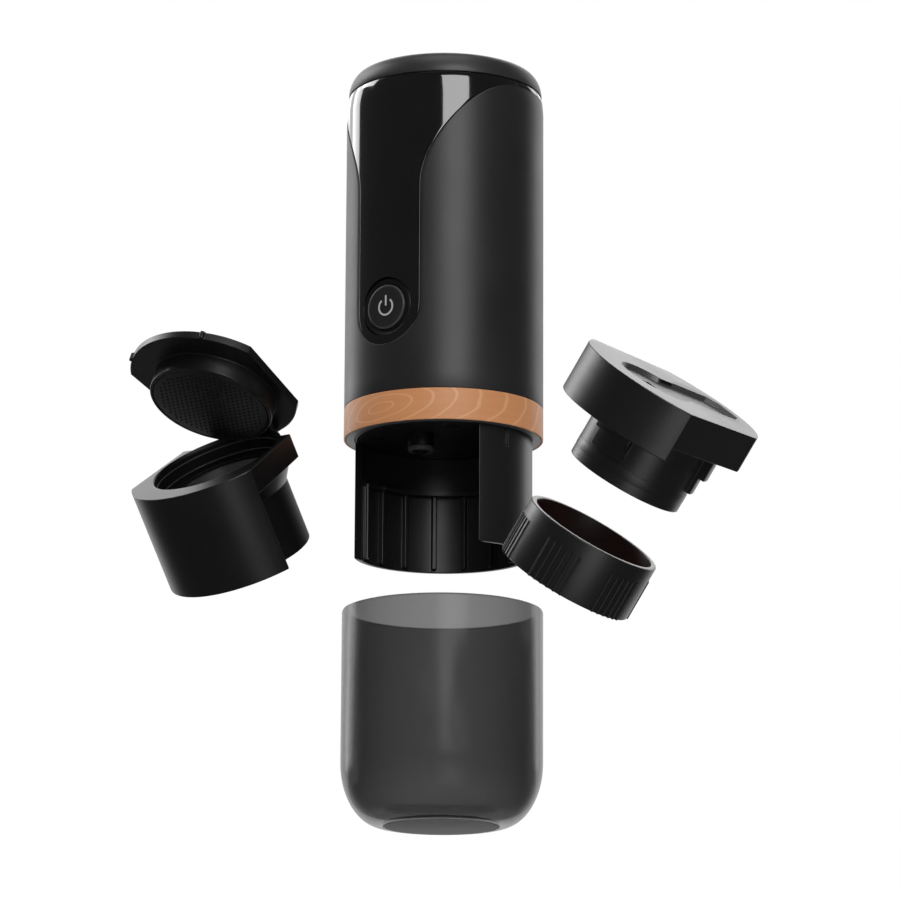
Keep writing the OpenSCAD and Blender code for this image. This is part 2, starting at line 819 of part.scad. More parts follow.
// A bar on each side of the knuckle, round about the hinge pin and running up from it
module lug_bars(from_x, to_x, r, up) {
    for (side = [-1, 1]) translate([side * (from_x + to_x) / 2, hinge_y, hinge_z]) {
        rotate([0, 90, 0]) cylinder(r = r, h = to_x - from_x, center = true);
        translate([0, 0, up / 2]) cube([to_x - from_x, 2 * r, up], center = true);
    }
}

module holder_solid() {
    translate([0, 0, -holder_h]) linear_extrude(holder_h) door_plan(door_r, door_y);
    translate([0, 0, -holder_h]) cylinder(r = drum_r, h = holder_h - cut);
    translate([0, 0, -block_h - cone_h]) cylinder(r1 = drum_r, r2 = mouth_out_r, h = cone_h);
    translate([0, 0, -block_h]) cylinder(r = mouth_out_r, h = block_h);
    translate([0, 0, -block_h]) linear_extrude(block_h) intersection() {
        bay_plan(door_r, block_half_w, block_r);
        translate([-2 * door_r, -2 * door_r]) square([4 * door_r, 2 * door_r + block_back]);
    }
    across(hinge_y, hinge_z, knuckle_half) cylinder(r = knuckle_r, h = 2 * knuckle_half);
    translate([-knuckle_half, mouth_r + cut, hinge_z - knuckle_r])
        cube([2 * knuckle_half, hinge_y - mouth_r - cut, knuckle_r]);
}

module holder_body() {
    color([0.13, 0.13, 0.13]) at_holder() difference() {
        holder_solid();
        translate([0, 0, -mouth_depth]) cylinder(r = mouth_r, h = mouth_depth + cut);
        translate([0, 0, -lead_h]) cylinder(r1 = mouth_r, r2 = mouth_r + 2 * lead_w, h = 2 * lead_h);
        translate([0, 0, holder_floor - holder_h]) cylinder(r = bore_r, h = holder_h);
        translate([0, 0, -holder_h - cut]) cylinder(r = spout_r, h = holder_floor + 2 * cut);
        translate([0, 0, -holder_h - cut]) linear_extrude(holder_h - block_h + cut) difference() {
            door_plan(door_r - door_wall, door_y + door_wall);
            circle(r = drum_r);
        }
        lug_bars(knuckle_half, lug_end + run_gap, knuckle_r + run_gap, block_h);
        across(hinge_y, hinge_z, lug_end) cylinder(r = pin_r + pin_gap, h = 2 * lug_end);
    }
}

module filter_basket() {
    cup_r = bore_r - run_gap;
    color("silver") at_holder() translate([0, 0, -mouth_depth]) difference() {
        union() {
            cylinder(r = mouth_r - run_gap, h = basket_flange_t);
            translate([0, 0, -basket_depth]) cylinder(r = cup_r, h = basket_depth);
        }
        translate([0, 0, basket_wall - basket_depth])
            cylinder(r = cup_r - basket_wall, h = basket_depth + basket_flange_t);
        translate([0, 0, -basket_depth - cut])
            perforation(basket_rings, cup_r / (basket_rings + 1), basket_hole_r, 2 * cut + basket_wall);
    }
}

module basket_gasket() {
    color([0.35, 0.35, 0.35]) at_holder() translate([0, 0, basket_flange_t - mouth_depth])
        tube(mouth_r - run_gap, bore_r, basket_gasket_t);
}

module hinge_pin() {
    half_l = lug_end - run_gap;
    color("silver") at_holder() across(hinge_y, hinge_z, half_l) cylinder(r = pin_r, h = 2 * half_l);
}

module holder_lid() {
    color([0.12, 0.12, 0.12]) at_lid() difference() {
        union() {
            translate([0, 0, lid_gap]) linear_extrude(lid_t)
                bay_plan(door_r - run_gap, block_half_w, block_r);
            translate([0, 0, lid_gap - boss_h]) cylinder(r = boss_r, h = boss_h + cut);
            lug_bars(knuckle_half + run_gap, lug_end, knuckle_r, lid_gap + cut - hinge_z);
            for (az = tab_azs) rotate([0, 0, az])
                translate([-tab_w / 2, -door_r - tab_out + run_gap, lid_gap])
                    cube([tab_w, 2 * tab_out, lid_t]);
        }
        translate([0, 0, lid_gap - boss_h - cut]) cylinder(r = shower_r + fit_gap, h = shower_t + cut);
        translate([0, 0, lid_gap - boss_h]) cylinder(r = shower_r - shower_seat, h = shower_t + shower_room);
        translate([0, -nozzle_out, -boss_h]) cylinder(r = water_r, h = boss_h + lid_t + cut);
        translate([0, -nozzle_out, lid_gap + lid_t - lid_seal_t])
            cylinder(r = lid_seal_r + fit_gap, h = lid_seal_t + cut);
        across(hinge_y, hinge_z, lug_end + cut) cylinder(r = pin_r + shaft_gap, h = 2 * (lug_end + cut));
    }
}

module shower_plate() {
    color("darkgray") at_lid() translate([0, 0, lid_gap - boss_h]) difference() {
        cylinder(r = shower_r, h = shower_t);
        translate([0, 0, -cut]) perforation(shower_rings, shower_pitch, shower_hole_r, shower_t + 2 * cut);
    }
}

module lid_gasket() {
    color([0.35, 0.35, 0.35]) at_lid() translate([0, -nozzle_out, lid_gap + lid_t - lid_seal_t])
        tube(lid_seal_r, water_r + fit_gap, lid_seal_t);
}

// A pocket of two round ends joined by a narrower neck
module nozzle_pocket(depth) {
    for (y = [pocket_front, pocket_back]) translate([0, y, -depth]) cylinder(r = pocket_r, h = depth + cut);
    translate([-pocket_neck, pocket_front, -depth])
        cube([2 * pocket_neck, pocket_back - pocket_front, depth + cut]);
}

// The hollow under the adapter's head, clear of the pocket's wall and of the spigot
module head_core() {
    difference() {
        bay_plan(door_r - core_wall, block_half_w - core_wall, block_r - core_wall);
        circle(r = spigot_r + spigot_collar);
        for (y = [pocket_front, pocket_back]) translate([0, y]) circle(r = pocket_r + core_wall);
        translate([-pocket_neck - core_wall, pocket_front])
            square([2 * (pocket_neck + core_wall), pocket_back - pocket_front]);
    }
}

module bayonet_lug(az) {
    top_z = lug_root - adapter_block_h;
    step_z = -adapter_block_h - lug_top_h;
    end_z = step_z - lug_step_h;
    rotate([0, 0, az - lug_span / 2]) rotate_extrude(angle = lug_span)
        polygon([[spigot_r - cut, top_z], [lug_r, top_z], [lug_r, step_z], [ring_in_r, step_z],
            [ring_in_r, end_z], [spigot_r - cut, end_z]]);
}

module adapter_head() {
    seal_r = spigot_r - seal_sunk;
    color([0.12, 0.12, 0.12]) at_adapter() difference() {
        union() {
            difference() {
                union() {
                    translate([0, 0, -adapter_block_h])
                        linear_extrude(adapter_block_h) bay_plan(door_r, block_half_w, block_r);
                    translate([0, 0, -front_h]) linear_extrude(front_h) door_plan(door_r, door_y);
                }
                translate([0, 0, -front_h - cut]) linear_extrude(front_h + cut - core_roof) head_core();
            }
            translate([0, 0, -adapter_h]) cylinder(r = spigot_r, h = adapter_h - cut);
            for (az = lug_azs) bayonet_lug(az);
        }
        nozzle_pocket(pocket_depth);
        translate([0, 0, -adapter_h - cut])
            cylinder(r = spigot_r - spigot_wall, h = adapter_h - chamber_roof + cut);
        translate([0, -nozzle_out, -chamber_roof - cut]) centred_box(inlet_w, inlet_w, chamber_roof);
        translate([0, 0, seal_up - adapter_h]) tube(spigot_r + cut, seal_r, seal_t + 2 * fit_gap);
    }
}

module adapter_screen() {
    screen_r = spigot_r - spigot_wall - fit_gap;
    color("silver") at_adapter() translate([0, 0, -chamber_roof - screen_t]) difference() {
        cylinder(r = screen_r, h = screen_t);
        translate([0, 0, -cut])
            perforation(basket_rings, screen_r / (basket_rings + 1), shower_hole_r, screen_t + 2 * cut);
    }
}

module adapter_seal() {
    seal_r = spigot_r - seal_sunk;
    color([0.35, 0.35, 0.35]) at_adapter() translate([0, 0, seal_up + fit_gap - adapter_h])
        tube(seal_r + seal_w, seal_r, seal_t);
}

module adapter_ring() {
    color([0.16, 0.16, 0.16]) at_adapter() translate([0, 0, -adapter_h - ring_away - ring_h]) {
        tube(ring_r, ring_in_r, ring_h);
        for (g = [0:rib_groups - 1], i = [0:ribs_in_group - 1])
            rotate([0, 0, 360 * g / rib_groups + (i - (ribs_in_group - 1) / 2) * rib_step])
                translate([ring_r - rib_out, -rib_w / 2, 0]) cube([2 * rib_out, rib_w, ring_rib_h]);
    }
}

sleeve();
inner_housing();
wood_band();
base_deck();
brew_skirt();
brew_head();
outlet_nozzle();
nozzle_gasket();
ceiling_screws();
water_tank();
upper_deck();
deck_posts();
battery_cells();
cell_cradle();
control_board();
button_switch();
button_bezel();
charge_board();
charge_socket();
pump_body();
pump_cover();
pump_motor();
inlet_tube();
outlet_tube();
cap();
cap_gasket();
power_button();
drive_gear();
idler_gear();
port_plug();
cup();
cup_pad();
holder_body();
filter_basket();
basket_gasket();
hinge_pin();
holder_lid();
shower_plate();
lid_gasket();
adapter_head();
adapter_screen();
adapter_seal();
adapter_ring();
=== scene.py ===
"""Looks of a portable coffee machine that is laid out taken apart.

The machine hovers over its smoke-tinted cup, the brew holder lies open on one side, and the adapter
with its ribbed ring lies on the other. Sizes are in millimetres; meshes are made in metres.
"""

import json
import logging
import math
from collections.abc import Callable, Sequence
from dataclasses import dataclass, field
from enum import Enum

import bmesh
import bpy
from mathutils import Matrix, Vector
from mathutils.kdtree import KDTree


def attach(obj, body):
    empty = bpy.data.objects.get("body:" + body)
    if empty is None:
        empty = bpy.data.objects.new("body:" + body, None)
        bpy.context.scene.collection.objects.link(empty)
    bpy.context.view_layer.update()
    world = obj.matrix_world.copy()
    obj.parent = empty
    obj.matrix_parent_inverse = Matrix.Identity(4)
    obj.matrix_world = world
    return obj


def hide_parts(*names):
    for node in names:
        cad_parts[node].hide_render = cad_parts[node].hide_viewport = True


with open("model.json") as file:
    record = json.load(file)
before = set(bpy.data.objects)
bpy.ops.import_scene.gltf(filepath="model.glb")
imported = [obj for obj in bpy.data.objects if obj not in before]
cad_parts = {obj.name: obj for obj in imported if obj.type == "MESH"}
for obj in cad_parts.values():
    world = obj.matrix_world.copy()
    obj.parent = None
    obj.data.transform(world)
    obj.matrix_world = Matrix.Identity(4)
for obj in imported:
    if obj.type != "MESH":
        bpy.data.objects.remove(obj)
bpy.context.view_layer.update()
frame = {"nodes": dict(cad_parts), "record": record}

MM = 0.001
LOG = logging.getLogger("coffee_machine")

Point = tuple[float, float]
Colour = tuple[float, float, float]


class Slot(Enum):
    """The record's material slots."""

    SHELL = "matte_shell"
    CAP = "matte_cap"
    GLOSS = "gloss_black"
    WOOD = "wood"
    SATIN = "satin_black"
    SMOKE = "smoke"
    TANK = "tank_plastic"
    GREY_METAL = "grey_metal"
    DARK_METAL = "dark_metal"
    STEEL = "steel"
    BRASS = "brass"
    DARK_RUBBER = "dark_rubber"
    PALE_RUBBER = "pale_rubber"
    BOARD = "board"
    CELL = "cell_wrap"


@dataclass(frozen=True)
class Layout:
    """Where the groups of the set stand, in millimetres and degrees."""

    machine_z: float = 136.2
    holder_at: tuple[float, float, float] = (-54.8, -59.0, 125.9)
    holder_tilt: float = 35.8
    lid_open: float = 59.0
    hinge_y: float = 25.0
    hinge_z: float = -2.2
    adapter_at: tuple[float, float, float] = (164.0, -99.3, 112.1)
    adapter_tilt: float = 37.1
    adapter_turn: float = 9.1

    def machine(self) -> Matrix:
        """The machine's own frame, which starts at the underside of the wood band."""
        return Matrix.Translation((0.0, 0.0, self.machine_z))

    def holder(self) -> Matrix:
        """The brew holder's frame, which starts on its axis at its top face."""
        return Matrix.Translation(self.holder_at) @ Matrix.Rotation(math.radians(self.holder_tilt), 4, "X")

    def lid(self) -> Matrix:
        """The lid's frame, which is the holder's one when the lid is shut."""
        hinge = Vector((0.0, self.hinge_y, self.hinge_z))
        swing = Matrix.Rotation(math.radians(-self.lid_open), 4, "X")
        return self.holder() @ Matrix.Translation(hinge) @ swing @ Matrix.Translation(-hinge)

    def adapter(self) -> Matrix:
        """The adapter's frame, which starts on its axis at its top face."""
        tilt = Matrix.Rotation(math.radians(self.adapter_tilt), 4, "Y")
        turn = Matrix.Rotation(math.radians(-self.adapter_turn), 4, "Z")
        return Matrix.Translation(self.adapter_at) @ tilt @ turn

    def forwards(self, height: float) -> Matrix:
        """A frame in the machine whose own Z points to the front.

        Args:
            height: Height above the underside of the wood band.

        Returns:
            The frame as a matrix in millimetres.
        """
        return self.machine() @ Matrix.Translation((0.0, 0.0, height)) @ Matrix.Rotation(math.radians(90), 4, "X")


LAYOUT = Layout()


# Mesh making


def piece(name: str, points: Sequence[Vector], faces: Sequence[Sequence[int]], place: Matrix,
          sharp: float = 35.0) -> bpy.types.Object:
    """Makes an object at the origin from points in millimetres.

    Args:
        name: Name of the object.
        points: Points in the piece's own frame.
        faces: Corner indices of each face.
        place: The piece's frame, in millimetres.
        sharp: Angle in degrees above which an edge is shaded sharp.

    Returns:
        The new object, with doubles merged and normals turned outwards.
    """
    mesh = bpy.data.meshes.new(name)
    mesh.from_pydata([(place @ Vector(p)) * MM for p in points], [], [tuple(f) for f in faces])
    work = bmesh.new()
    work.from_mesh(mesh)
    bmesh.ops.remove_doubles(work, verts=work.verts, dist=2e-6)
    bmesh.ops.recalc_face_normals(work, faces=work.faces)
    work.to_mesh(mesh)
    work.free()
    made = bpy.data.objects.new(name, mesh)
    bpy.context.scene.collection.objects.link(made)
    shade(made, sharp)
    return made


def shade(obj: bpy.types.Object, sharp: float) -> None:
    """Shades an object smooth apart from edges sharper than an angle in degrees."""
    obj.data.shade_smooth()
    obj.data.set_sharp_from_angle(angle=math.radians(sharp))


def bake(obj: bpy.types.Object, sharp: float | None = 35.0) -> bpy.types.Object:
    """Turns an object's modifiers into a plain mesh.

    Args:
        obj: The object to bake.
        sharp: Angle in degrees above which an edge is shaded sharp, or None to keep the shading.

    Returns:
        The same object, with no modifier left.
    """
    graph = bpy.context.evaluated_depsgraph_get()
    mesh = bpy.data.meshes.new_from_object(obj.evaluated_get(graph))
    obj.modifiers.clear()
    obj.data = mesh
    if sharp is not None:
        shade(obj, sharp)
    return obj


def carved(obj: bpy.types.Object, tool: bpy.types.Object) -> bpy.types.Object:
    """Cuts a tool out of an object and removes the tool.

    Args:
        obj: The object to cut.
        tool: A closed object in the shape of the cut.

    Returns:
        The cut object as a plain mesh.
    """
    cut = obj.modifiers.new("cut", "BOOLEAN")
    cut.object, cut.operation, cut.solver = tool, "DIFFERENCE", "EXACT"
    bake(obj)
    bpy.data.objects.remove(tool)
    return obj


def rounded(corners: Sequence[Point], radius: float, steps: int = 4) -> list[Point]:
    """Rounds every corner of a closed outline.

    Args:
        corners: Corners of the outline in order.
        radius: Length taken from each side of a corner.
        steps: Number of short edges in each rounding.

    Returns:
        The points of the rounded outline.
    """
    out: list[Point] = []
    count = len(corners)
    for i, corner in enumerate(corners):
        here = Vector(corner)
        before, after = Vector(corners[i - 1]) - here, Vector(corners[(i + 1) % count]) - here
        if corner[0] == 0.0 and (corners[i - 1][0] == 0.0 or corners[(i + 1) % count][0] == 0.0):
            out.append(corner)
            continue
        start = here + before.normalized() * min(radius, 0.45 * before.length)
        end = here + after.normalized() * min(radius, 0.45 * after.length)
        for k in range(steps + 1):
            t = k / steps
            p = start * (1 - t) ** 2 + here * 2 * t * (1 - t) + end * t * t
            out.append((p.x, p.y))
    return out


def turned(name: str, outline: Sequence[Point], place: Matrix, segments: int = 160, sharp: float = 35.0) -> bpy.types.Object:
    """Turns a closed outline of radius and height round the Z axis of a frame.

    Args:
        name: Name of the object.
        outline: Closed outline as pairs of radius and height.
        place: Frame of the piece.
        segments: Number of steps round the axis.
        sharp: Angle in degrees above which an edge is shaded sharp.

    Returns:
        The turned piece.
    """
    points: list[Vector] = []
    for i in range(segments):
        a = 2 * math.pi * i / segments
        points += [Vector((r * math.cos(a), r * math.sin(a), z)) for r, z in outline]
    n = len(outline)
    faces = [(i * n + j, (i + 1) % segments * n + j, (i + 1) % segments * n + (j + 1) % n, i * n + (j + 1) % n)
             for i in range(segments) for j in range(n)
             if not (outline[j][0] == 0.0 and outline[(j + 1) % n][0] == 0.0)]
    return piece(name, points, faces, place, sharp)


def prism(name: str, outline: Sequence[Point], low: float, high: float, place: Matrix,
          upper: Sequence[Point] | None = None) -> bpy.types.Object:
    """Raises a closed outline along the Z axis of a frame.

    Args:
        name: Name of the object.
        outline: Points of the outline in order.
        low: Height of the lower face.
        high: Height of the upper face.
        place: Frame of the piece.
        upper: Outline of the upper face with as many points, or None for the same outline.

    Returns:
        The closed piece.
    """
    n = len(outline)
    points = [Vector((x, y, z)) for ring, z in ((outline, low), (upper or outline, high)) for x, y in ring]
    sides = [(i, (i + 1) % n, n + (i + 1) % n, n + i) for i in range(n)]
    return piece(name, points, [tuple(range(n)), tuple(range(n, 2 * n)), *sides], place)


def wall_patch(name: str, rows: Sequence[float], radius: Callable[[float], float], edges: Callable[[float], tuple[float, float]],
               place: Matrix, columns: int, thick: float, soft: float) -> bpy.types.Object:
    """Makes a curved wall whose two side edges follow a rule, with a thickness and softened edges.

    Args:
        name: Name of the object.
        rows: Heights of the rows, from the bottom up.
        radius: Outer radius at a height.
        edges: First and last azimuth at a height, in degrees from the front towards +X.
        place: Frame of the piece.
        columns: Number of steps from one edge to the other.
        thick: Thickness, taken inwards.
        soft: Width of the edge rounding.

    Returns:
        The wall as a closed piece.
    """
    points: list[Vector] = []
    for z in rows:
        first, last = edges(z)
        for k in range(columns + 1):
            a = math.radians(first + (last - first) * k / columns)
            points.append(Vector((radius(z) * math.sin(a), -radius(z) * math.cos(a), z)))
    n = columns + 1
    faces = [(i * n + k, i * n + k + 1, (i + 1) * n + k + 1, (i + 1) * n + k)
             for i in range(len(rows) - 1) for k in range(columns)]
    made = piece(name, points, faces, place)
    centre = Vector((0.0, 0.0, 0.0))
    if sum((p.center - centre).xy.dot(p.normal.xy) for p in made.data.polygons) < 0:
        made.data.flip_normals()
    wall = made.modifiers.new("wall", "SOLIDIFY")
    wall.thickness, wall.offset, wall.use_even_offset = thick * MM, -1.0, True
    round_edges(made, soft, 50.0)
    return bake(made)


def round_edges(obj: bpy.types.Object, width: float, angle: float = 35.0, segments: int = 3) -> bpy.types.BevelModifier:
    """Adds a bevel on an object's sharp edges.

    Args:
        obj: The object.
        width: Width of the bevel in millimetres.
        angle: Angle in degrees above which an edge is rounded.
        segments: Number of steps across the rounding.

    Returns:
        The bevel.
    """
    bevel = obj.modifiers.new("edges", "BEVEL")
    bevel.width, bevel.segments = width * MM, segments
    bevel.limit_method, bevel.angle_limit = "ANGLE", math.radians(angle)
    bevel.use_clamp_overlap = False
    bevel.miter_outer = "MITER_ARC"
    return bevel


def folded(mesh: bpy.types.Mesh, slack: float = 5e-8) -> list[Vector]:
    """Corners of the triangles that lie folded over their face.

    Args:
        mesh: The mesh to look at.
        slack: Area in square metres below which a triangle doesn't count.

    Returns:
        The corners' places, none if every face is sound.
    """
    mesh.calc_loop_triangles()
    over = [t for t in mesh.loop_triangles
            if t.area > slack and t.normal.dot(mesh.polygons[t.polygon_index].normal) < 0]
    return [mesh.vertices[v].co.copy() for t in over for v in t.vertices]


def softened(node: str, name: str, width: float, angle: float = 35.0) -> bpy.types.Object:
    """Copies a CAD node and rounds its sharp edges, apart from those with no room for the rounding.

    Args:
        node: Name of the CAD node.
        name: Name of the copy.
        width: Width of the rounding in millimetres.
        angle: Angle in degrees above which an edge is rounded.

    Returns:
        The copy as a plain mesh.
    """
    mesh = frame["nodes"][node].data.copy()
    mesh.materials.clear()
    work = bmesh.new()
    work.from_mesh(mesh)
    bmesh.ops.remove_doubles(work, verts=work.verts, dist=2e-6)
    bmesh.ops.dissolve_limit(work, angle_limit=math.radians(0.6), verts=work.verts, edges=work.edges)
    weight = work.edges.layers.float.new("bevel_weight_edge")
    for edge in work.edges:
        edge[weight] = float(len(edge.link_faces) == 2 and edge.calc_face_angle() > math.radians(angle))
    work.to_mesh(mesh)
    made = bpy.data.objects.new(name, mesh)
    bpy.context.scene.collection.objects.link(made)
    for _ in range(8):
        shade(made, 25.0)
        round_edges(made, width).limit_method = "WEIGHT"
        made.modifiers.new("even", "WEIGHTED_NORMAL").keep_sharp = True
        bake(made, None)
        tight = folded(made.data)
        if not tight:
            break
        near = KDTree(len(tight))
        for i, place in enumerate(tight):
            near.insert(place, i)
        near.balance()
        for edge in work.edges:
            if any(near.find(corner.co)[2] < 2.5 * width * MM for corner in edge.verts):
                edge[weight] = 0.0
        made.data = mesh.copy()
        work.to_mesh(made.data)
    work.free()
    return made


def joined(name: str, parts: Sequence[bpy.types.Object]) -> bpy.types.Object:
    """Joins parts of one body into one object.

    Args:
        name: Name of the joined object.
        parts: Objects to join; their materials stay on their own faces.

    Returns:
        The joined object.
    """
    mesh = bpy.data.meshes.new(name)
    work = bmesh.new()
    materials: list[bpy.types.Material] = []
    for part in parts:
        first = len(work.faces)
        work.from_mesh(part.data)
        work.faces.ensure_lookup_table()
        for face in work.faces[first:]:
            own = part.data.materials[face.material_index]
            if own not in materials:
                materials.append(own)
            face.material_index = materials.index(own)
    work.to_mesh(mesh)
    work.free()
    for own in materials:
        mesh.materials.append(own)
    for part in parts:
        bpy.data.objects.remove(part)
    made = bpy.data.objects.new(name, mesh)
    bpy.context.scene.collection.objects.link(made)
    return made


def body_of(node: str) -> str:
    """The CAD body that a node belongs to."""
    bodies = frame["record"]["behaviour"]["bodies"]
    return next(body for body, nodes in bodies.items() if node in nodes)


def stand_for(obj: bpy.types.Object, node: str, material: bpy.types.Material | None = None) -> bpy.types.Object:
    """Lets a piece stand for a CAD node.

    Args:
        obj: The finished piece.
        node: The CAD node that it replaces.
        material: Material for the whole piece, or None if it has its own.

    Returns:
        The piece.
    """
    if material is not None:
        obj.data.materials.clear()
        obj.data.materials.append(material)
    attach(obj, body_of(node))
    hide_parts(node)
    LOG.info("%s stands for %s", obj.name, node)
    return obj


# Shader groups and finishes


class NodeGraph:
    """A node tree with short calls to add and link nodes."""

    def __init__(self, tree: bpy.types.NodeTree) -> None:
        """Takes the tree to add to."""
        self.tree = tree

    def add(self, kind: str, **values: object) -> bpy.types.Node:
        """Adds a node.

        Args:
            kind: Blender's name of the node type.
            **values: Properties of the node.

        Returns:
            The node.
        """
        node = self.tree.nodes.new(kind)
        for key, value in values.items():
            setattr(node, key, value)
        return node

    def link(self, out: bpy.types.NodeSocket, into: bpy.types.NodeSocket) -> None:
        """Links one socket to another."""
        self.tree.links.new(out, into)

    def math(self, operation: str, first: object, second: object = 0.0) -> bpy.types.NodeSocket:
        """Adds a Math node.

        Args:
            operation: Name of the operation.
            first: Socket or number.
            second: Socket or number.

        Returns:
            The result's socket.
        """
        node = self.add("ShaderNodeMath", operation=operation)
        for i, value in enumerate((first, second)):
            if isinstance(value, bpy.types.NodeSocket):
                self.link(value, node.inputs[i])
            else:
                node.inputs[i].default_value = value
        return node.outputs[0]

    def blend(self, factor: bpy.types.NodeSocket, first: object, second: object) -> bpy.types.NodeSocket:
        """Mixes two colours.

        Args:
            factor: Share of the second colour.
            first: Colour or socket.
            second: Colour or socket.

        Returns:
            The mixed colour's socket.
        """
        node = self.add("ShaderNodeMix", data_type="RGBA")
        self.link(factor, node.inputs["Factor"])
        for i, value in ((6, first), (7, second)):
            if isinstance(value, bpy.types.NodeSocket):
                self.link(value, node.inputs[i])
            else:
                node.inputs[i].default_value = (*value, 1.0)
        return node.outputs[2]


def grain_group() -> bpy.types.NodeTree:
    """The shared grain: cloudy mottling and a fine moulded texture on Object coordinates.

    Returns:
        A group with inputs Cloud Scale and Grain Scale and outputs Cloud and Grain.
    """
    name = "moulded_grain"
    if name in bpy.data.node_groups:
        return bpy.data.node_groups[name]
    tree = bpy.data.node_groups.new(name, "ShaderNodeTree")
    for label, start in (("Cloud Scale", 40.0), ("Grain Scale", 2500.0)):
        tree.interface.new_socket(label, in_out="INPUT", socket_type="NodeSocketFloat").default_value = start
    for label in ("Cloud", "Grain"):
        tree.interface.new_socket(label, in_out="OUTPUT", socket_type="NodeSocketFloat")
    graph = NodeGraph(tree)
    into, out = graph.add("NodeGroupInput"), graph.add("NodeGroupOutput")
    place = graph.add("ShaderNodeTexCoord")
    for label, scale, detail in (("Cloud", "Cloud Scale", 4.0), ("Grain", "Grain Scale", 2.0)):
        noise = graph.add("ShaderNodeTexNoise")
        noise.inputs["Detail"].default_value = detail
        graph.link(place.outputs["Object"], noise.inputs["Vector"])
        graph.link(into.outputs[scale], noise.inputs["Scale"])
        spread = graph.add("ShaderNodeMapRange")
        spread.inputs["From Min"].default_value, spread.inputs["From Max"].default_value = 0.3, 0.7
        graph.link(noise.outputs["Fac"], spread.inputs["Value"])
        graph.link(spread.outputs["Result"], out.inputs[label])
    return tree


@dataclass(frozen=True)
class Finish:
    """A moulded, coated or metal surface with mottled colour, uneven gloss and fine grain."""

    name: str
    colour: Colour
    roughness: float
    metallic: float = 0.0
    specular: float = 0.5
    coat: float = 0.0
    coat_roughness: float = 0.05
    mottle: float = 0.12
    swing: float = 0.05
    cloud_scale: float = 40.0
    grain_scale: float = 2500.0
    grain_depth: float = 0.05

    def material(self) -> bpy.types.Material:
        """The finish as a Blender material, made once."""
        if self.name in bpy.data.materials:
            return bpy.data.materials[self.name]
        made = bpy.data.materials.new(self.name)
        made.use_nodes = True
        graph = NodeGraph(made.node_tree)
        shader = made.node_tree.nodes["Principled BSDF"]
        grain = graph.add("ShaderNodeGroup", node_tree=grain_group())
        grain.inputs["Cloud Scale"].default_value = self.cloud_scale
        grain.inputs["Grain Scale"].default_value = self.grain_scale
        low, high = (tuple(c * (1 + s * self.mottle) for c in self.colour) for s in (-1, 1))
        graph.link(graph.blend(grain.outputs["Cloud"], low, high), shader.inputs["Base Color"])
        gloss = graph.math("MULTIPLY_ADD", grain.outputs["Cloud"], self.swing)
        gloss.node.inputs[2].default_value = self.roughness - 0.5 * self.swing
        graph.link(gloss, shader.inputs["Roughness"])
        bump = graph.add("ShaderNodeBump")
        bump.inputs["Strength"].default_value = self.grain_depth
        bump.inputs["Distance"].default_value = 0.0002
        graph.link(grain.outputs["Grain"], bump.inputs["Height"])
        graph.link(bump.outputs["Normal"], shader.inputs["Normal"])
        shader.inputs["Metallic"].default_value = self.metallic
        shader.inputs["Specular IOR Level"].default_value = self.specular
        shader.inputs["Coat Weight"].default_value = self.coat
        shader.inputs["Coat Roughness"].default_value = self.coat_roughness
        return made


@dataclass(frozen=True)
class SmokeFinish:
    """Smoke-tinted clear plastic that lets part of the light straight through."""

    name: str = "smoke_tint"
    colour: Colour = (0.022, 0.022, 0.024)
    face_alpha: float = 0.56
    edge_alpha: float = 0.90
    foot_alpha: float = -0.08
    foot_top: float = 22.0
    foot_low: float = 5.0
    roughness: float = 0.22
    specular: float = 0.24

    def material(self) -> bpy.types.Material:
        """The finish as a Blender material, made once."""
        if self.name in bpy.data.materials:
            return bpy.data.materials[self.name]
        made = bpy.data.materials.new(self.name)
        made.use_nodes = True
        graph = NodeGraph(made.node_tree)
        shader = made.node_tree.nodes["Principled BSDF"]
        grain = graph.add("ShaderNodeGroup", node_tree=grain_group())
        grain.inputs["Cloud Scale"].default_value = 25.0
        low, high = (tuple(c * s for c in self.colour) for s in (0.85, 1.15))
        graph.link(graph.blend(grain.outputs["Cloud"], low, high), shader.inputs["Base Color"])
        facing = graph.add("ShaderNodeLayerWeight")
        facing.inputs["Blend"].default_value = 0.3
        wall = graph.math("MULTIPLY_ADD", facing.outputs["Facing"], self.edge_alpha - self.face_alpha)
        wall.node.inputs[2].default_value = self.face_alpha
        place, axes = graph.add("ShaderNodeTexCoord"), graph.add("ShaderNodeSeparateXYZ")
        graph.link(place.outputs["Object"], axes.inputs[0])
        foot = graph.add("ShaderNodeMapRange", interpolation_type="SMOOTHSTEP")
        foot.inputs["From Min"].default_value = self.foot_top * MM
        foot.inputs["From Max"].default_value = self.foot_low * MM
        foot.inputs["To Max"].default_value = self.foot_alpha
        graph.link(axes.outputs["Z"], foot.inputs["Value"])
        graph.link(graph.math("ADD", wall, foot.outputs["Result"]), shader.inputs["Alpha"])
        shader.inputs["Roughness"].default_value = self.roughness
        shader.inputs["Specular IOR Level"].default_value = self.specular
        return made


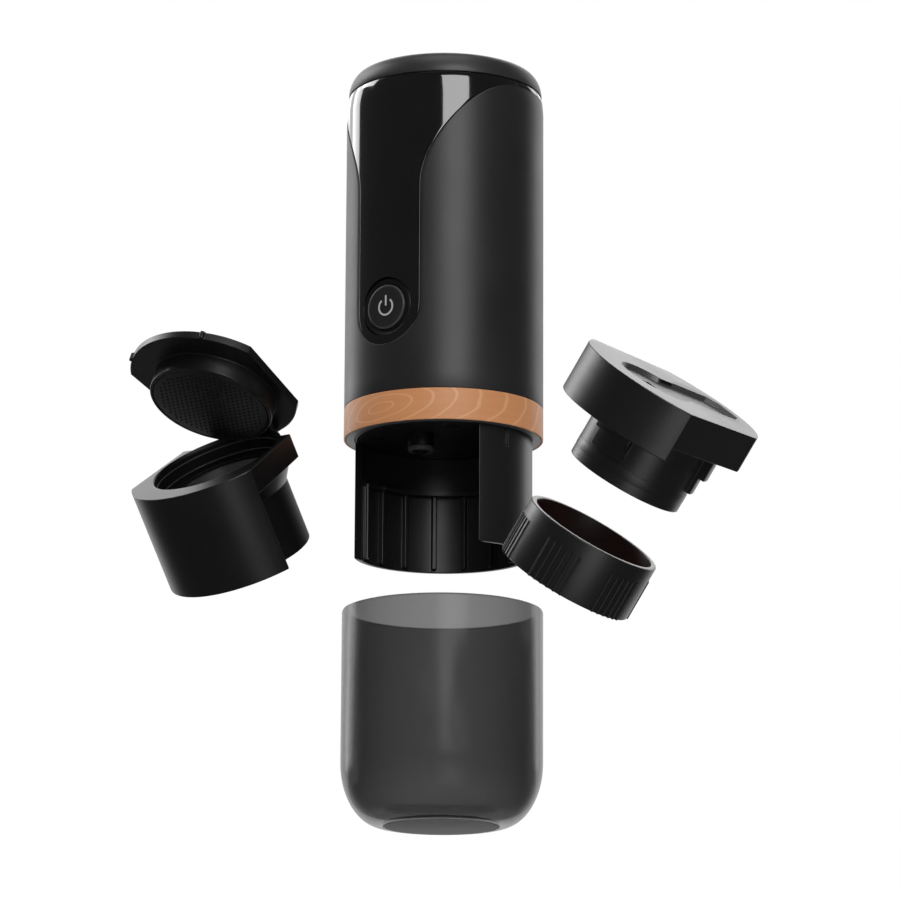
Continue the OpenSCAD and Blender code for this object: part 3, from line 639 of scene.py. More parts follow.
@dataclass(frozen=True)
class WoodFinish:
    """Light brown wood whose pale growth rings widen out from one oval figure on the band."""

    name: str = "band_wood"
    ground: Colour = (0.585, 0.245, 0.095)
    warm: Colour = (0.655, 0.295, 0.128)
    line: Colour = (0.72, 0.38, 0.19)
    middle_z: float = 141.6
    band_r: float = 35.0
    figure_az: float = -2.4
    stretch: float = 3.0
    first_ring: float = 5.3
    spread: float = 0.82
    lean: float = 0.1
    wobble: float = 5.0

    def material(self) -> bpy.types.Material:
        """The finish as a Blender material, made once."""
        if self.name in bpy.data.materials:
            return bpy.data.materials[self.name]
        made = bpy.data.materials.new(self.name)
        made.use_nodes = True
        graph = NodeGraph(made.node_tree)
        shader = made.node_tree.nodes["Principled BSDF"]
        place = graph.add("ShaderNodeTexCoord")
        spun = graph.add("ShaderNodeVectorRotate", rotation_type="Z_AXIS")
        spun.inputs["Angle"].default_value = math.radians(-self.figure_az)
        graph.link(place.outputs["Object"], spun.inputs["Vector"])
        axes = graph.add("ShaderNodeSeparateXYZ")
        graph.link(spun.outputs["Vector"], axes.inputs[0])
        turn = graph.math("ARCTAN2", axes.outputs["X"], graph.math("MULTIPLY", axes.outputs["Y"], -1.0))
        up = graph.math("SUBTRACT", axes.outputs["Z"], self.middle_z * MM)
        leaned = graph.math("SUBTRACT", up, graph.math("MULTIPLY", axes.outputs["X"], self.lean))
        flat = graph.add("ShaderNodeCombineXYZ")
        graph.link(graph.math("MULTIPLY", turn, self.band_r * MM), flat.inputs["X"])
        graph.link(graph.math("MULTIPLY", leaned, self.stretch), flat.inputs["Y"])
        warp = graph.add("ShaderNodeTexNoise")
        warp.inputs["Scale"].default_value, warp.inputs["Detail"].default_value = 45.0, 1.0
        graph.link(flat.outputs[0], warp.inputs["Vector"])
        reach = graph.add("ShaderNodeVectorMath", operation="LENGTH")
        graph.link(flat.outputs[0], reach.inputs[0])
        sway = graph.math("MULTIPLY", graph.math("SUBTRACT", warp.outputs["Fac"], 0.5), self.wobble * MM)
        away = graph.math("ABSOLUTE", graph.math("ADD", reach.outputs["Value"], sway))
        rings = graph.math("POWER", graph.math("DIVIDE", away, self.first_ring * MM), self.spread)
        wave = graph.math("COSINE", graph.math("MULTIPLY", rings, 2 * math.pi))
        thin = graph.add("ShaderNodeMapRange", interpolation_type="SMOOTHSTEP")
        thin.inputs["From Min"].default_value, thin.inputs["From Max"].default_value = 0.84, 1.0
        thin.inputs["To Max"].default_value = 0.8
        graph.link(wave, thin.inputs["Value"])
        streak = graph.add("ShaderNodeTexNoise")
        streak.inputs["Scale"].default_value, streak.inputs["Detail"].default_value = 60.0, 6.0
        long = graph.add("ShaderNodeMapping")
        long.inputs["Scale"].default_value = (0.25, 3.0, 1.0)
        graph.link(flat.outputs[0], long.inputs["Vector"])
        graph.link(long.outputs["Vector"], streak.inputs["Vector"])
        ground = graph.blend(streak.outputs["Fac"], self.ground, self.warm)
        graph.link(graph.blend(thin.outputs["Result"], ground, self.line), shader.inputs["Base Color"])
        grain = graph.add("ShaderNodeGroup", node_tree=grain_group())
        gloss = graph.math("MULTIPLY_ADD", grain.outputs["Cloud"], 0.1)
        gloss.node.inputs[2].default_value = 0.42
        graph.link(gloss, shader.inputs["Roughness"])
        bump = graph.add("ShaderNodeBump")
        bump.inputs["Strength"].default_value, bump.inputs["Distance"].default_value = 0.12, 0.0003
        graph.link(streak.outputs["Fac"], bump.inputs["Height"])
        graph.link(bump.outputs["Normal"], shader.inputs["Normal"])
        return made


SLEEVE_COAT = Finish("sleeve_matte_coat", (0.015, 0.015, 0.0158), 0.41, specular=0.5, grain_depth=0.06)
CAP_MATTE = Finish("cap_matte", (0.024, 0.024, 0.0252), 0.42, specular=0.55, grain_depth=0.10)
PANEL_GLOSS = Finish("panel_piano_black", (0.0035, 0.0035, 0.004), 0.10, coat=1.0, coat_roughness=0.03, mottle=0.3,
                     swing=0.03, grain_depth=0.0)
BUTTON_FACE = Finish("button_satin", (0.014, 0.014, 0.015), 0.32, grain_depth=0.06)
# A lighter, half-metal edge on the button's face: a painted highlight.
BUTTON_RIM_HIGHLIGHT = Finish("button_rim", (0.09, 0.09, 0.092), 0.30, metallic=0.5)
BEZEL_SATIN = Finish("bezel_satin", (0.005, 0.005, 0.0054), 0.30, grain_depth=0.04)
SYMBOL_PAINT = Finish("symbol_paint", (0.52, 0.52, 0.53), 0.5, grain_depth=0.04)
BAY_SATIN = Finish("bay_satin", (0.008, 0.008, 0.0085), 0.36, grain_depth=0.06)
HOLDER_SATIN = Finish("holder_satin", (0.005, 0.005, 0.0053), 0.34, grain_depth=0.06)
ADAPTER_SATIN = Finish("adapter_satin", (0.005, 0.005, 0.0053), 0.36, specular=0.7, grain_depth=0.06)
# The adapter's black painted ten times lighter: painted light on the pocket's walls and floor.
POCKET_PAINTED_LIGHT = Finish("pocket_satin", (0.05, 0.05, 0.0515), 0.40, specular=0.8, grain_depth=0.06)
RING_INSIDE = Finish("ring_inside", (0.020, 0.005, 0.004), 0.4)
SHOWER_DARK = Finish("shower_dark", (0.012, 0.012, 0.0126), 0.42, metallic=0.2)
NOZZLE_DARK = Finish("nozzle_dark", (0.003, 0.003, 0.0032), 0.45, specular=0.25)
BLACK_SCREW = Finish("black_screw", (0.004, 0.004, 0.0042), 0.5, specular=0.2)
# The holder's black made darker and duller: painted shade inside the holder's mouth.
INSIDE_PAINTED_SHADE = Finish("inside_dark", (0.004, 0.004, 0.0042), 0.55, specular=0.18)
# Ten times lighter than the holder's black: a painted highlight on the beads in the mouth.
BEAD_PAINTED_HIGHLIGHT = Finish("bead_satin", (0.05, 0.05, 0.051), 0.35)
# Near-black colour that paints the shade inside holes and at the floor of the adapter's inlet.
HOLE_PAINTED_SHADE = Finish("hole_dark", (0.0015, 0.0015, 0.0016), 0.8, specular=0.1)
PLAIN_STEEL = Finish("plain_steel", (0.56, 0.56, 0.57), 0.30, metallic=1.0, grain_depth=0.04)
CAST_GREY = Finish("cast_grey", (0.30, 0.30, 0.31), 0.48, metallic=0.9, grain_depth=0.15)
CUT_BRASS = Finish("cut_brass", (0.62, 0.44, 0.17), 0.28, metallic=1.0)
GASKET_DARK = Finish("gasket_dark", (0.030, 0.030, 0.031), 0.62, specular=0.3)
PAD_GREY = Finish("pad_grey", (0.42, 0.42, 0.43), 0.55, specular=0.35)
TUBE_PALE = Finish("tube_pale", (0.72, 0.72, 0.70), 0.45)
TANK_GREY = Finish("tank_grey", (0.28, 0.29, 0.31), 0.25, coat=0.4)
BOARD_GREEN = Finish("board_green", (0.02, 0.11, 0.045), 0.40, mottle=0.3)
CELL_GREEN = Finish("cell_green", (0.03, 0.20, 0.11), 0.30, coat=0.5)
SMOKE = SmokeFinish()
BAND_WOOD = WoodFinish()


# Geometry Nodes trees


def tree_with_inputs(name: str, inputs: Sequence[tuple[str, str, object]]) -> tuple[bpy.types.NodeTree, NodeGraph, bpy.types.Node]:
    """Starts a Geometry Nodes tree.

    Args:
        name: Name of the tree.
        inputs: Name, socket type and start value of each input.

    Returns:
        The tree, its graph and its input node.
    """
    tree = bpy.data.node_groups.new(name, "GeometryNodeTree")
    for label, kind, start in inputs:
        socket = tree.interface.new_socket(label, in_out="INPUT", socket_type=kind)
        if start is not None:
            socket.default_value = start
    tree.interface.new_socket("Geometry", in_out="OUTPUT", socket_type="NodeSocketGeometry")
    graph = NodeGraph(tree)
    return tree, graph, graph.add("NodeGroupInput")


def close_tree(graph: NodeGraph, instances: bpy.types.NodeSocket, material: bpy.types.NodeSocket) -> None:
    """Ends a tree with real geometry and its material.

    Args:
        graph: The tree's graph.
        instances: The instances to make real.
        material: The socket that gives the material.
    """
    real, dress, out = graph.add("GeometryNodeRealizeInstances"), graph.add("GeometryNodeSetMaterial"), graph.add("NodeGroupOutput")
    graph.link(instances, real.inputs["Geometry"])
    graph.link(real.outputs["Geometry"], dress.inputs["Geometry"])
    graph.link(material, dress.inputs["Material"])
    graph.link(dress.outputs["Geometry"], out.inputs[0])


def rod_tree() -> bpy.types.NodeTree:
    """Upright rods round an axis, in groups that are spread evenly over a turn.

    Returns:
        The tree, made once.
    """
    name = "rods_round_axis"
    if name in bpy.data.node_groups:
        return bpy.data.node_groups[name]
    tree, graph, given = tree_with_inputs(name, (
        ("Groups", "NodeSocketInt", 1), ("In Group", "NodeSocketInt", 5), ("Group Turn", "NodeSocketFloat", 1.0),
        ("Rod Turn", "NodeSocketFloat", 0.1), ("Start", "NodeSocketFloat", 0.0), ("Circle Radius", "NodeSocketFloat", 0.02),
        ("Rod Radius", "NodeSocketFloat", 0.0004), ("Rod Height", "NodeSocketFloat", 0.01), ("Material", "NodeSocketMaterial", None)))
    line = graph.add("GeometryNodeMeshLine")
    total = graph.math("MULTIPLY", given.outputs["Groups"], given.outputs["In Group"])
    graph.link(total, line.inputs["Count"])
    index = graph.add("GeometryNodeInputIndex").outputs[0]
    group = graph.math("FLOOR", graph.math("DIVIDE", index, given.outputs["In Group"]))
    inner = graph.math("SUBTRACT", index, graph.math("MULTIPLY", group, given.outputs["In Group"]))
    middle = graph.math("MULTIPLY", graph.math("SUBTRACT", given.outputs["In Group"], 1.0), 0.5)
    turn = graph.math("ADD", graph.math("MULTIPLY", group, given.outputs["Group Turn"]),
                      graph.math("MULTIPLY", graph.math("SUBTRACT", inner, middle), given.outputs["Rod Turn"]))
    angle = graph.math("ADD", turn, given.outputs["Start"])
    spot = graph.add("ShaderNodeCombineXYZ")
    graph.link(graph.math("MULTIPLY", graph.math("COSINE", angle), given.outputs["Circle Radius"]), spot.inputs["X"])
    graph.link(graph.math("MULTIPLY", graph.math("SINE", angle), given.outputs["Circle Radius"]), spot.inputs["Y"])
    graph.link(graph.math("MULTIPLY", given.outputs["Rod Height"], 0.5), spot.inputs["Z"])
    moved = graph.add("GeometryNodeSetPosition")
    graph.link(line.outputs["Mesh"], moved.inputs["Geometry"])
    graph.link(spot.outputs[0], moved.inputs["Position"])
    rod = graph.add("GeometryNodeMeshCylinder")
    rod.inputs["Vertices"].default_value = 12
    graph.link(given.outputs["Rod Radius"], rod.inputs["Radius"])
    graph.link(given.outputs["Rod Height"], rod.inputs["Depth"])
    placed = graph.add("GeometryNodeInstanceOnPoints")
    graph.link(moved.outputs["Geometry"], placed.inputs["Points"])
    graph.link(rod.outputs["Mesh"], placed.inputs["Instance"])
    close_tree(graph, placed.outputs["Instances"], given.outputs["Material"])
    return tree


def hole_tree() -> bpy.types.NodeTree:
    """Dark discs in staggered rows inside a circle, painted as the shade in round perforations; no hole is cut.

    Returns:
        The tree, made once.
    """
    name = "staggered_perforation"
    if name in bpy.data.node_groups:
        return bpy.data.node_groups[name]
    tree, graph, given = tree_with_inputs(name, (
        ("Field Radius", "NodeSocketFloat", 0.02), ("Pitch", "NodeSocketFloat", 0.002), ("Across", "NodeSocketInt", 41),
        ("Hole Radius", "NodeSocketFloat", 0.0005), ("Hole Depth", "NodeSocketFloat", 0.0001), ("Material", "NodeSocketMaterial", None)))
    grid = graph.add("GeometryNodeMeshGrid")
    span = graph.math("MULTIPLY", graph.math("SUBTRACT", given.outputs["Across"], 1.0), given.outputs["Pitch"])
    row_step = graph.math("MULTIPLY", given.outputs["Pitch"], math.sqrt(0.75))
    rise = graph.math("MULTIPLY", graph.math("SUBTRACT", given.outputs["Across"], 1.0), row_step)
    for value, label in ((span, "Size X"), (rise, "Size Y"), (given.outputs["Across"], "Vertices X"), (given.outputs["Across"], "Vertices Y")):
        graph.link(value, grid.inputs[label])
    where = graph.add("GeometryNodeInputPosition")
    axes = graph.add("ShaderNodeSeparateXYZ")
    graph.link(where.outputs[0], axes.inputs[0])
    row = graph.math("ROUND", graph.math("DIVIDE", axes.outputs["Y"], row_step))
    odd = graph.math("ABSOLUTE", graph.math("MODULO", row, 2.0))
    shift = graph.add("ShaderNodeCombineXYZ")
    graph.link(graph.math("MULTIPLY", graph.math("MULTIPLY", odd, given.outputs["Pitch"]), 0.5), shift.inputs["X"])
    moved = graph.add("GeometryNodeSetPosition")
    graph.link(grid.outputs["Mesh"], moved.inputs["Geometry"])
    graph.link(shift.outputs[0], moved.inputs["Offset"])
    reach = graph.add("ShaderNodeVectorMath", operation="LENGTH")
    there = graph.add("GeometryNodeInputPosition")
    graph.link(there.outputs[0], reach.inputs[0])
    outside = graph.add("FunctionNodeCompare", data_type="FLOAT", operation="GREATER_THAN")
    graph.link(reach.outputs["Value"], outside.inputs[0])
    graph.link(given.outputs["Field Radius"], outside.inputs[1])
    trimmed = graph.add("GeometryNodeDeleteGeometry", domain="POINT")
    graph.link(moved.outputs["Geometry"], trimmed.inputs["Geometry"])
    graph.link(outside.outputs[0], trimmed.inputs["Selection"])
    hole = graph.add("GeometryNodeMeshCylinder")
    hole.inputs["Vertices"].default_value = 10
    graph.link(given.outputs["Hole Radius"], hole.inputs["Radius"])
    graph.link(given.outputs["Hole Depth"], hole.inputs["Depth"])
    placed = graph.add("GeometryNodeInstanceOnPoints")
    graph.link(trimmed.outputs["Geometry"], placed.inputs["Points"])
    graph.link(hole.outputs["Mesh"], placed.inputs["Instance"])
    close_tree(graph, placed.outputs["Instances"], given.outputs["Material"])
    return tree


def grown(name: str, tree: bpy.types.NodeTree, values: dict[str, object], place: Matrix) -> bpy.types.Object:
    """Runs a Geometry Nodes tree and keeps its result as a plain mesh.

    Args:
        name: Name of the object.
        tree: The tree to run.
        values: Value of each named input, in metres and radians.
        place: Frame of the result, in millimetres.

    Returns:
        The object at the origin, with its place in its mesh.
    """
    made = bpy.data.objects.new(name, bpy.data.meshes.new(name))
    bpy.context.scene.collection.objects.link(made)
    run = made.modifiers.new("pattern", "NODES")
    run.node_group = tree
    for item in tree.interface.items_tree:
        if item.in_out == "INPUT" and item.name in values:
            run[item.identifier] = values[item.name]
    graph = bpy.context.evaluated_depsgraph_get()
    mesh = bpy.data.meshes.new_from_object(made.evaluated_get(graph))
    made.modifiers.clear()
    made.data = mesh
    metres = place.copy()
    metres.translation = place.translation * MM
    mesh.transform(metres)
    shade(made, 40.0)
    return made


# Sub-assemblies


@dataclass
class Casing:
    """The matte sleeve with its flared cut-out, and the gloss housing that shows through it."""

    body_r: float = 35.0
    band_h: float = 11.1
    casing_h: float = 113.8
    shoulder_in: float = 0.6
    shoulder_h: float = 7.0
    collar_h: float = 1.8
    sleeve_wall: float = 1.5
    panel_sunk: float = 0.3
    panel_half_w: float = 13.5
    flare_w: float = 30.8
    flare_h: float = 39.0
    button_up: float = 30.5
    gap: float = 0.2
    bezel_hole_r: float = 10.4
    port_up: float = 10.0
    port_size: Point = (12.0, 7.0)
    socket_hole: Point = (9.4, 3.8)
    port_corner: float = 0.8

    @property
    def top(self) -> float:
        """Height of the casing's top."""
        return self.band_h + self.casing_h

    @property
    def sleeve_top(self) -> float:
        """Height of the sleeve's top."""
        return self.top - self.collar_h

    @property
    def button_z(self) -> float:
        """Height of the power button's axis."""
        return self.band_h + self.button_up

    @property
    def flare_z(self) -> float:
        """Height at which the flare starts."""
        return self.sleeve_top - self.flare_h

    @property
    def flare_az(self) -> float:
        """Azimuth at which the flare reaches the collar."""
        return math.degrees(math.asin(self.panel_half_w / self.body_r) + math.asin(self.flare_w / self.body_r))

    def radius(self, z: float) -> float:
        """Outer radius of the sleeve at a height."""
        share = (z - (self.top - self.shoulder_h)) / self.shoulder_h
        return self.body_r - self.shoulder_in * (1 - math.cos(math.radians(90 * min(1.0, max(0.0, share)))))

    def edge(self, z: float) -> float:
        """Azimuth of the cut-out's edge at a height, in degrees from the front."""
        if z >= self.flare_z:
            rise = min(1.0, (z - self.flare_z) / self.flare_h)
            return self.flare_az - math.degrees(math.asin(self.flare_w * math.sqrt(1 - rise ** 2) / self.body_r))
        if z >= self.button_z:
            return math.degrees(math.asin(self.panel_half_w / self.body_r))
        drop = min(self.panel_half_w, self.button_z - z)
        return math.degrees(math.asin(math.sqrt(self.panel_half_w ** 2 - drop ** 2) / self.body_r))

    def rows(self) -> list[float]:
        """Heights of the cut-out's rows, close together where its edge turns."""
        foot = [self.button_z - self.panel_half_w * math.cos(math.radians(90 * i / 16)) for i in range(17)]
        flare = [self.flare_z + self.flare_h * math.sin(math.radians(90 * i / 30)) for i in range(31)]
        straight = [self.button_z + (self.flare_z - self.button_z) * i / 8 for i in range(1, 8)]
        return foot + straight + flare

    def port_tool(self, size: Point) -> bpy.types.Object:
        """The shape of the charge port's opening at the back.

        Args:
            size: Width and height of the opening.

        Returns:
            A prism that reaches through the walls.
        """
        half_w, half_h = size[0] / 2, size[1] / 2
        corners = [(-half_w, -half_h), (half_w, -half_h), (half_w, half_h), (-half_w, half_h)]
        backwards = LAYOUT.machine() @ Matrix.Translation((0.0, 0.0, self.band_h + self.port_up))
        backwards = backwards @ Matrix.Rotation(math.radians(-90), 4, "X")
        return prism("port_tool", rounded(corners, self.port_corner), 0.8 * self.body_r, 1.2 * self.body_r, backwards)

    def bezel_tool(self) -> bpy.types.Object:
        """The shape of the round hole for the button's bezel."""
        outline = [(0.0, 20.0), (self.bezel_hole_r, 20.0), (self.bezel_hole_r, 45.0), (0.0, 45.0)]
        return turned("bezel_tool", outline, LAYOUT.forwards(self.button_z), 96)

    def build_sleeve(self) -> bpy.types.Object:
        """The sleeve, a wall round the machine whose edges follow the cut-out."""
        lower = [self.band_h + (self.rows()[0] - self.band_h) * i / 3 for i in range(3)]
        sleeve = wall_patch("sleeve_coated", lower + self.rows(), self.radius,
                            lambda z: (self.edge(z), 360.0 - self.edge(z)), LAYOUT.machine(), 150, self.sleeve_wall, 0.28)
        return carved(sleeve, self.port_tool(self.port_size))

    def build_panel(self) -> bpy.types.Object:
        """The gloss panel that fills the cut-out up to the cap, with the hole for the button's bezel."""
        margin = math.degrees(self.gap / self.body_r)
        rows = [z for z in self.rows() if z > self.rows()[0] + self.gap] + [self.top]
        panel = wall_patch("panel", rows, lambda z: self.radius(z) - self.panel_sunk,
                           lambda z: (margin - self.edge(z), self.edge(z) - margin), LAYOUT.machine(), 60, 2.6, 0.15)
        return carved(panel, self.bezel_tool())

    def build_inner(self) -> bpy.types.Object:
        """The housing's collar under the cap, and its wall behind the sleeve."""
        under = self.panel_sunk + 0.04
        outline = [(31.9, self.band_h + 0.2), (33.1, self.band_h + 0.2), (33.1, self.sleeve_top + self.gap),
                   (self.radius(self.sleeve_top) - under, self.sleeve_top + self.gap),
                   (self.radius(self.top) - under, self.top), (31.9, self.top)]
        inner = carved(turned("collar", rounded(outline, 0.2, 3), LAYOUT.machine()), self.port_tool(self.socket_hole))
        return carved(inner, self.bezel_tool())

    def dress(self) -> None:
        """Builds the casing and gives it its finishes."""
        stand_for(self.build_sleeve(), "sleeve", SLEEVE_COAT.material())
        gloss = [self.build_panel(), self.build_inner()]
        for part in gloss:
            part.data.materials.append(PANEL_GLOSS.material())
        stand_for(joined("housing_gloss", gloss), "inner_housing")


@dataclass
class Cap:
    """The domed cap over the tank's mouth."""

    seam_z: float = 125.2
    edge_r: float = 34.4
    draw: float = 5.4
    height: float = 8.0
    plug_r: float = 29.6
    plug_h: float = 6.0

    def dress(self) -> None:
        """Builds the cap and gives it its finish."""
        flank = [(self.edge_r - self.draw * (1 - math.cos(math.radians(a))), self.seam_z + self.height * math.sin(math.radians(a)))
                 for a in range(6, 91, 6)]
        lip = [(self.edge_r - 0.5, self.seam_z), (self.edge_r - 0.12, self.seam_z + 0.15)]
        plug = [(0.0, self.seam_z - self.plug_h), (self.plug_r - 0.6, self.seam_z - self.plug_h),
                (self.plug_r, self.seam_z - self.plug_h + 0.6), (self.plug_r, self.seam_z)]
        cap = turned("cap_dome", plug + lip + flank + [(0.0, self.seam_z + self.height)], LAYOUT.machine(), 180)
        stand_for(cap, "cap", CAP_MATTE.material())


@dataclass
class PowerButton:
    """The round button in its bezel, with a power sign on its face."""

    height: float = 41.6
    button_r: float = 7.9
    bezel_in_r: float = 8.2
    bezel_r: float = 10.2
    bezel_front: float = 33.2
    bezel_back: float = 29.6
    face: float = 34.0
    flange_back: float = 28.3
    sign_r: float = 2.9
    sign_w: float = 0.62

    def build_sign(self) -> list[bpy.types.Object]:
        """A raised open ring and a short bar, the usual power sign."""
        place = LAYOUT.forwards(self.height)
        half, low, high = self.sign_w / 2, self.face - 0.05, self.face + 0.06
        steps, gap = 48, 38.0
        points: list[Vector] = []
        for i in range(steps + 1):
            a = math.radians(90 + gap + (360 - 2 * gap) * i / steps)
            points += [Vector((r * math.cos(a), r * math.sin(a), z)) for r, z in
                       ((self.sign_r - half, low), (self.sign_r + half, low), (self.sign_r + half, high), (self.sign_r - half, high))]
        faces = [(i * 4 + j, i * 4 + (j + 1) % 4, i * 4 + 4 + (j + 1) % 4, i * 4 + 4 + j) for i in range(steps) for j in range(4)]
        faces += [(0, 1, 2, 3), tuple(steps * 4 + j for j in range(4))]
        ring = piece("sign_ring", points, faces, place)
        corners = [(x, y, z) for z in (low, high) for x, y in ((-half, 0.4), (half, 0.4), (half, 4.1), (-half, 4.1))]
        bar = piece("sign_bar", [Vector(c) for c in corners],
                    [(0, 1, 2, 3), (4, 5, 6, 7), (0, 1, 5, 4), (1, 2, 6, 5), (2, 3, 7, 6), (3, 0, 4, 7)], place)
        return [ring, bar]

    def dress(self) -> None:
        """Builds the button, its sign and its bezel and gives them their finishes."""
        place = LAYOUT.forwards(self.height)
        outline = [(0.0, 26.3), (2.4, 26.3), (2.4, self.flange_back), (self.bezel_in_r + 0.7, self.flange_back),
                   (self.bezel_in_r + 0.7, self.flange_back + 1.0), (self.button_r, self.flange_back + 1.0),
                   (self.button_r, self.face - 0.1), (self.button_r - 0.9, self.face), (0.0, self.face - 0.25)]
        button = turned("button_disc", rounded(outline, 0.35, 4), place, 96)
        for finish in (BUTTON_FACE, BUTTON_RIM_HIGHLIGHT):
            button.data.materials.append(finish.material())
        # Faces at the edge of the button's face take the painted highlight.
        for face in button.data.polygons:
            seen = place.inverted() @ (face.center / MM)
            face.material_index = int(seen.z > self.face - 0.7 and seen.xy.length > self.button_r - 0.75)
        sign = self.build_sign()
        for part in sign:
            part.data.materials.append(SYMBOL_PAINT.material())
        stand_for(joined("button_face", [button, *sign]), "power_button")
        ring = [(self.bezel_in_r, self.bezel_back), (self.bezel_r, self.bezel_back), (self.bezel_r, self.bezel_front + 0.15),
                (self.bezel_r - 0.7, self.bezel_front), (self.bezel_in_r + 0.5, self.bezel_front - 0.3),
                (self.bezel_in_r, self.bezel_front - 0.1)]
        stand_for(turned("button_ring", rounded(ring, 0.25, 3), place, 96), "button_bezel", BEZEL_SATIN.material())


@dataclass
class WoodBand:
    """The wood band at the foot of the casing."""

    outer_r: float = 35.0
    inner_r: float = 33.0
    seat_r: float = 34.4
    seat_h: float = 1.2
    height: float = 11.1

    def dress(self) -> None:
        """Builds the band and gives it its finish."""
        outline = [(self.seat_r, 0.0), (self.outer_r, 0.0), (self.outer_r, self.height), (self.inner_r, self.height),
                   (self.inner_r, self.seat_h), (self.seat_r, self.seat_h)]
        stand_for(turned("band_wood_ring", rounded(outline, 0.3, 4), LAYOUT.machine()), "wood_band", BAND_WOOD.material())


@dataclass
class BrewBay:
    """The C-shaped skirt round the bay, with its ledge, ribs and side notches, and the parts of its ceiling."""

    outer_r: float = 31.2
    inner_r: float = 29.4
    height: float = 41.3
    window_half_w: float = 26.95
    slot_h: float = 12.7
    ledge_r: float = 25.5
    ledge_t: float = 1.5
    rib_pitch: float = 21.5
    rib_count: int = 11
    rib_depth: float = 2.0

    def build_ribs(self) -> bpy.types.Object:
        """The ribs on the bay's inner wall."""
        values = {"Groups": 1, "In Group": self.rib_count, "Rod Turn": math.radians(self.rib_pitch), "Start": math.radians(90),
                  "Circle Radius": (self.inner_r - self.rib_depth + 0.8) * MM, "Rod Radius": 0.8 * MM,
                  "Rod Height": (self.height - self.slot_h - self.ledge_t / 2 - 1.0) * MM, "Material": BAY_SATIN.material()}
        return grown("bay_ribs", rod_tree(), values, LAYOUT.machine() @ Matrix.Translation((0, 0, 1.0 - self.height)))

    def dress(self) -> None:
        """Builds the bay and gives it its finishes."""
        skirt = softened("brew_skirt", "skirt_wall", 0.3)
        skirt.data.materials.append(BAY_SATIN.material())
        stand_for(joined("bay_skirt", [skirt, self.build_ribs()]), "brew_skirt")
        for node, width, finish, slot in (("brew_head", 0.3, BAY_SATIN, Slot.SATIN), ("outlet_nozzle", 0.35, NOZZLE_DARK, Slot.SATIN),
                                          ("base_deck", 0.25, CAST_GREY, Slot.GREY_METAL), ("nozzle_gasket", 0.2, GASKET_DARK, Slot.DARK_RUBBER)):
            stand_for(softened(node, f"{node}_soft", width), node, finish.material())


@dataclass
class Cup:
    """The smoke-tinted cup with its pad."""

    outer_r: float = 35.0
    height: float = 75.5
    wall: float = 2.6
    base_r: float = 20.5
    foot_h: float = 22.0
    floor_r: float = 23.5
    floor_h: float = 10.0
    pad_r: float = 19.9
    pad_t: float = 1.5
    proud: float = 0.2

    def foot(self, flat_r: float, wall_r: float, lift: float, rise: float) -> list[Point]:
        """The rounding from a flat base to an upright wall.

        Args:
            flat_r: Radius of the flat base.
            wall_r: Radius of the wall.
            lift: Height of the base.
            rise: Height of the rounding.

        Returns:
            Points from the base to the wall.
        """
        return [(flat_r + (wall_r - flat_r) * math.sin(math.radians(a)), lift + rise * (1 - math.cos(math.radians(a))))
                for a in range(0, 91, 3)]

    def dress(self) -> None:
        """Builds the cup and its pad and gives them their finishes."""
        rim = self.proud + self.height
        outer = self.foot(self.base_r, self.outer_r, self.proud, self.foot_h)
        inner = self.foot(self.floor_r, self.outer_r - self.wall, self.proud + self.wall + self.pad_t, self.floor_h)
        lip = [(self.outer_r, rim - 1.0), (self.outer_r - 0.3, rim - 0.3), (self.outer_r - 1.0, rim),
               (self.outer_r - self.wall + 1.0, rim), (self.outer_r - self.wall + 0.3, rim - 0.3), (self.outer_r - self.wall, rim - 1.0)]
        recess = [(0.0, self.pad_t), (self.pad_r + 0.2, self.pad_t), (self.pad_r + 0.2, self.proud)]
        outline = recess + outer + lip + inner[::-1] + [(0.0, inner[0][1])]
        stand_for(turned("cup_smoke", outline, Matrix.Identity(4), 180), "cup", SMOKE.material())
        pad = [(0.0, 0.0), (self.pad_r, 0.0), (self.pad_r, self.pad_t), (0.0, self.pad_t)]
        stand_for(turned("cup_pad_disc", rounded(pad, 0.35, 3), Matrix.Identity(4)), "cup_pad", PAD_GREY.material())


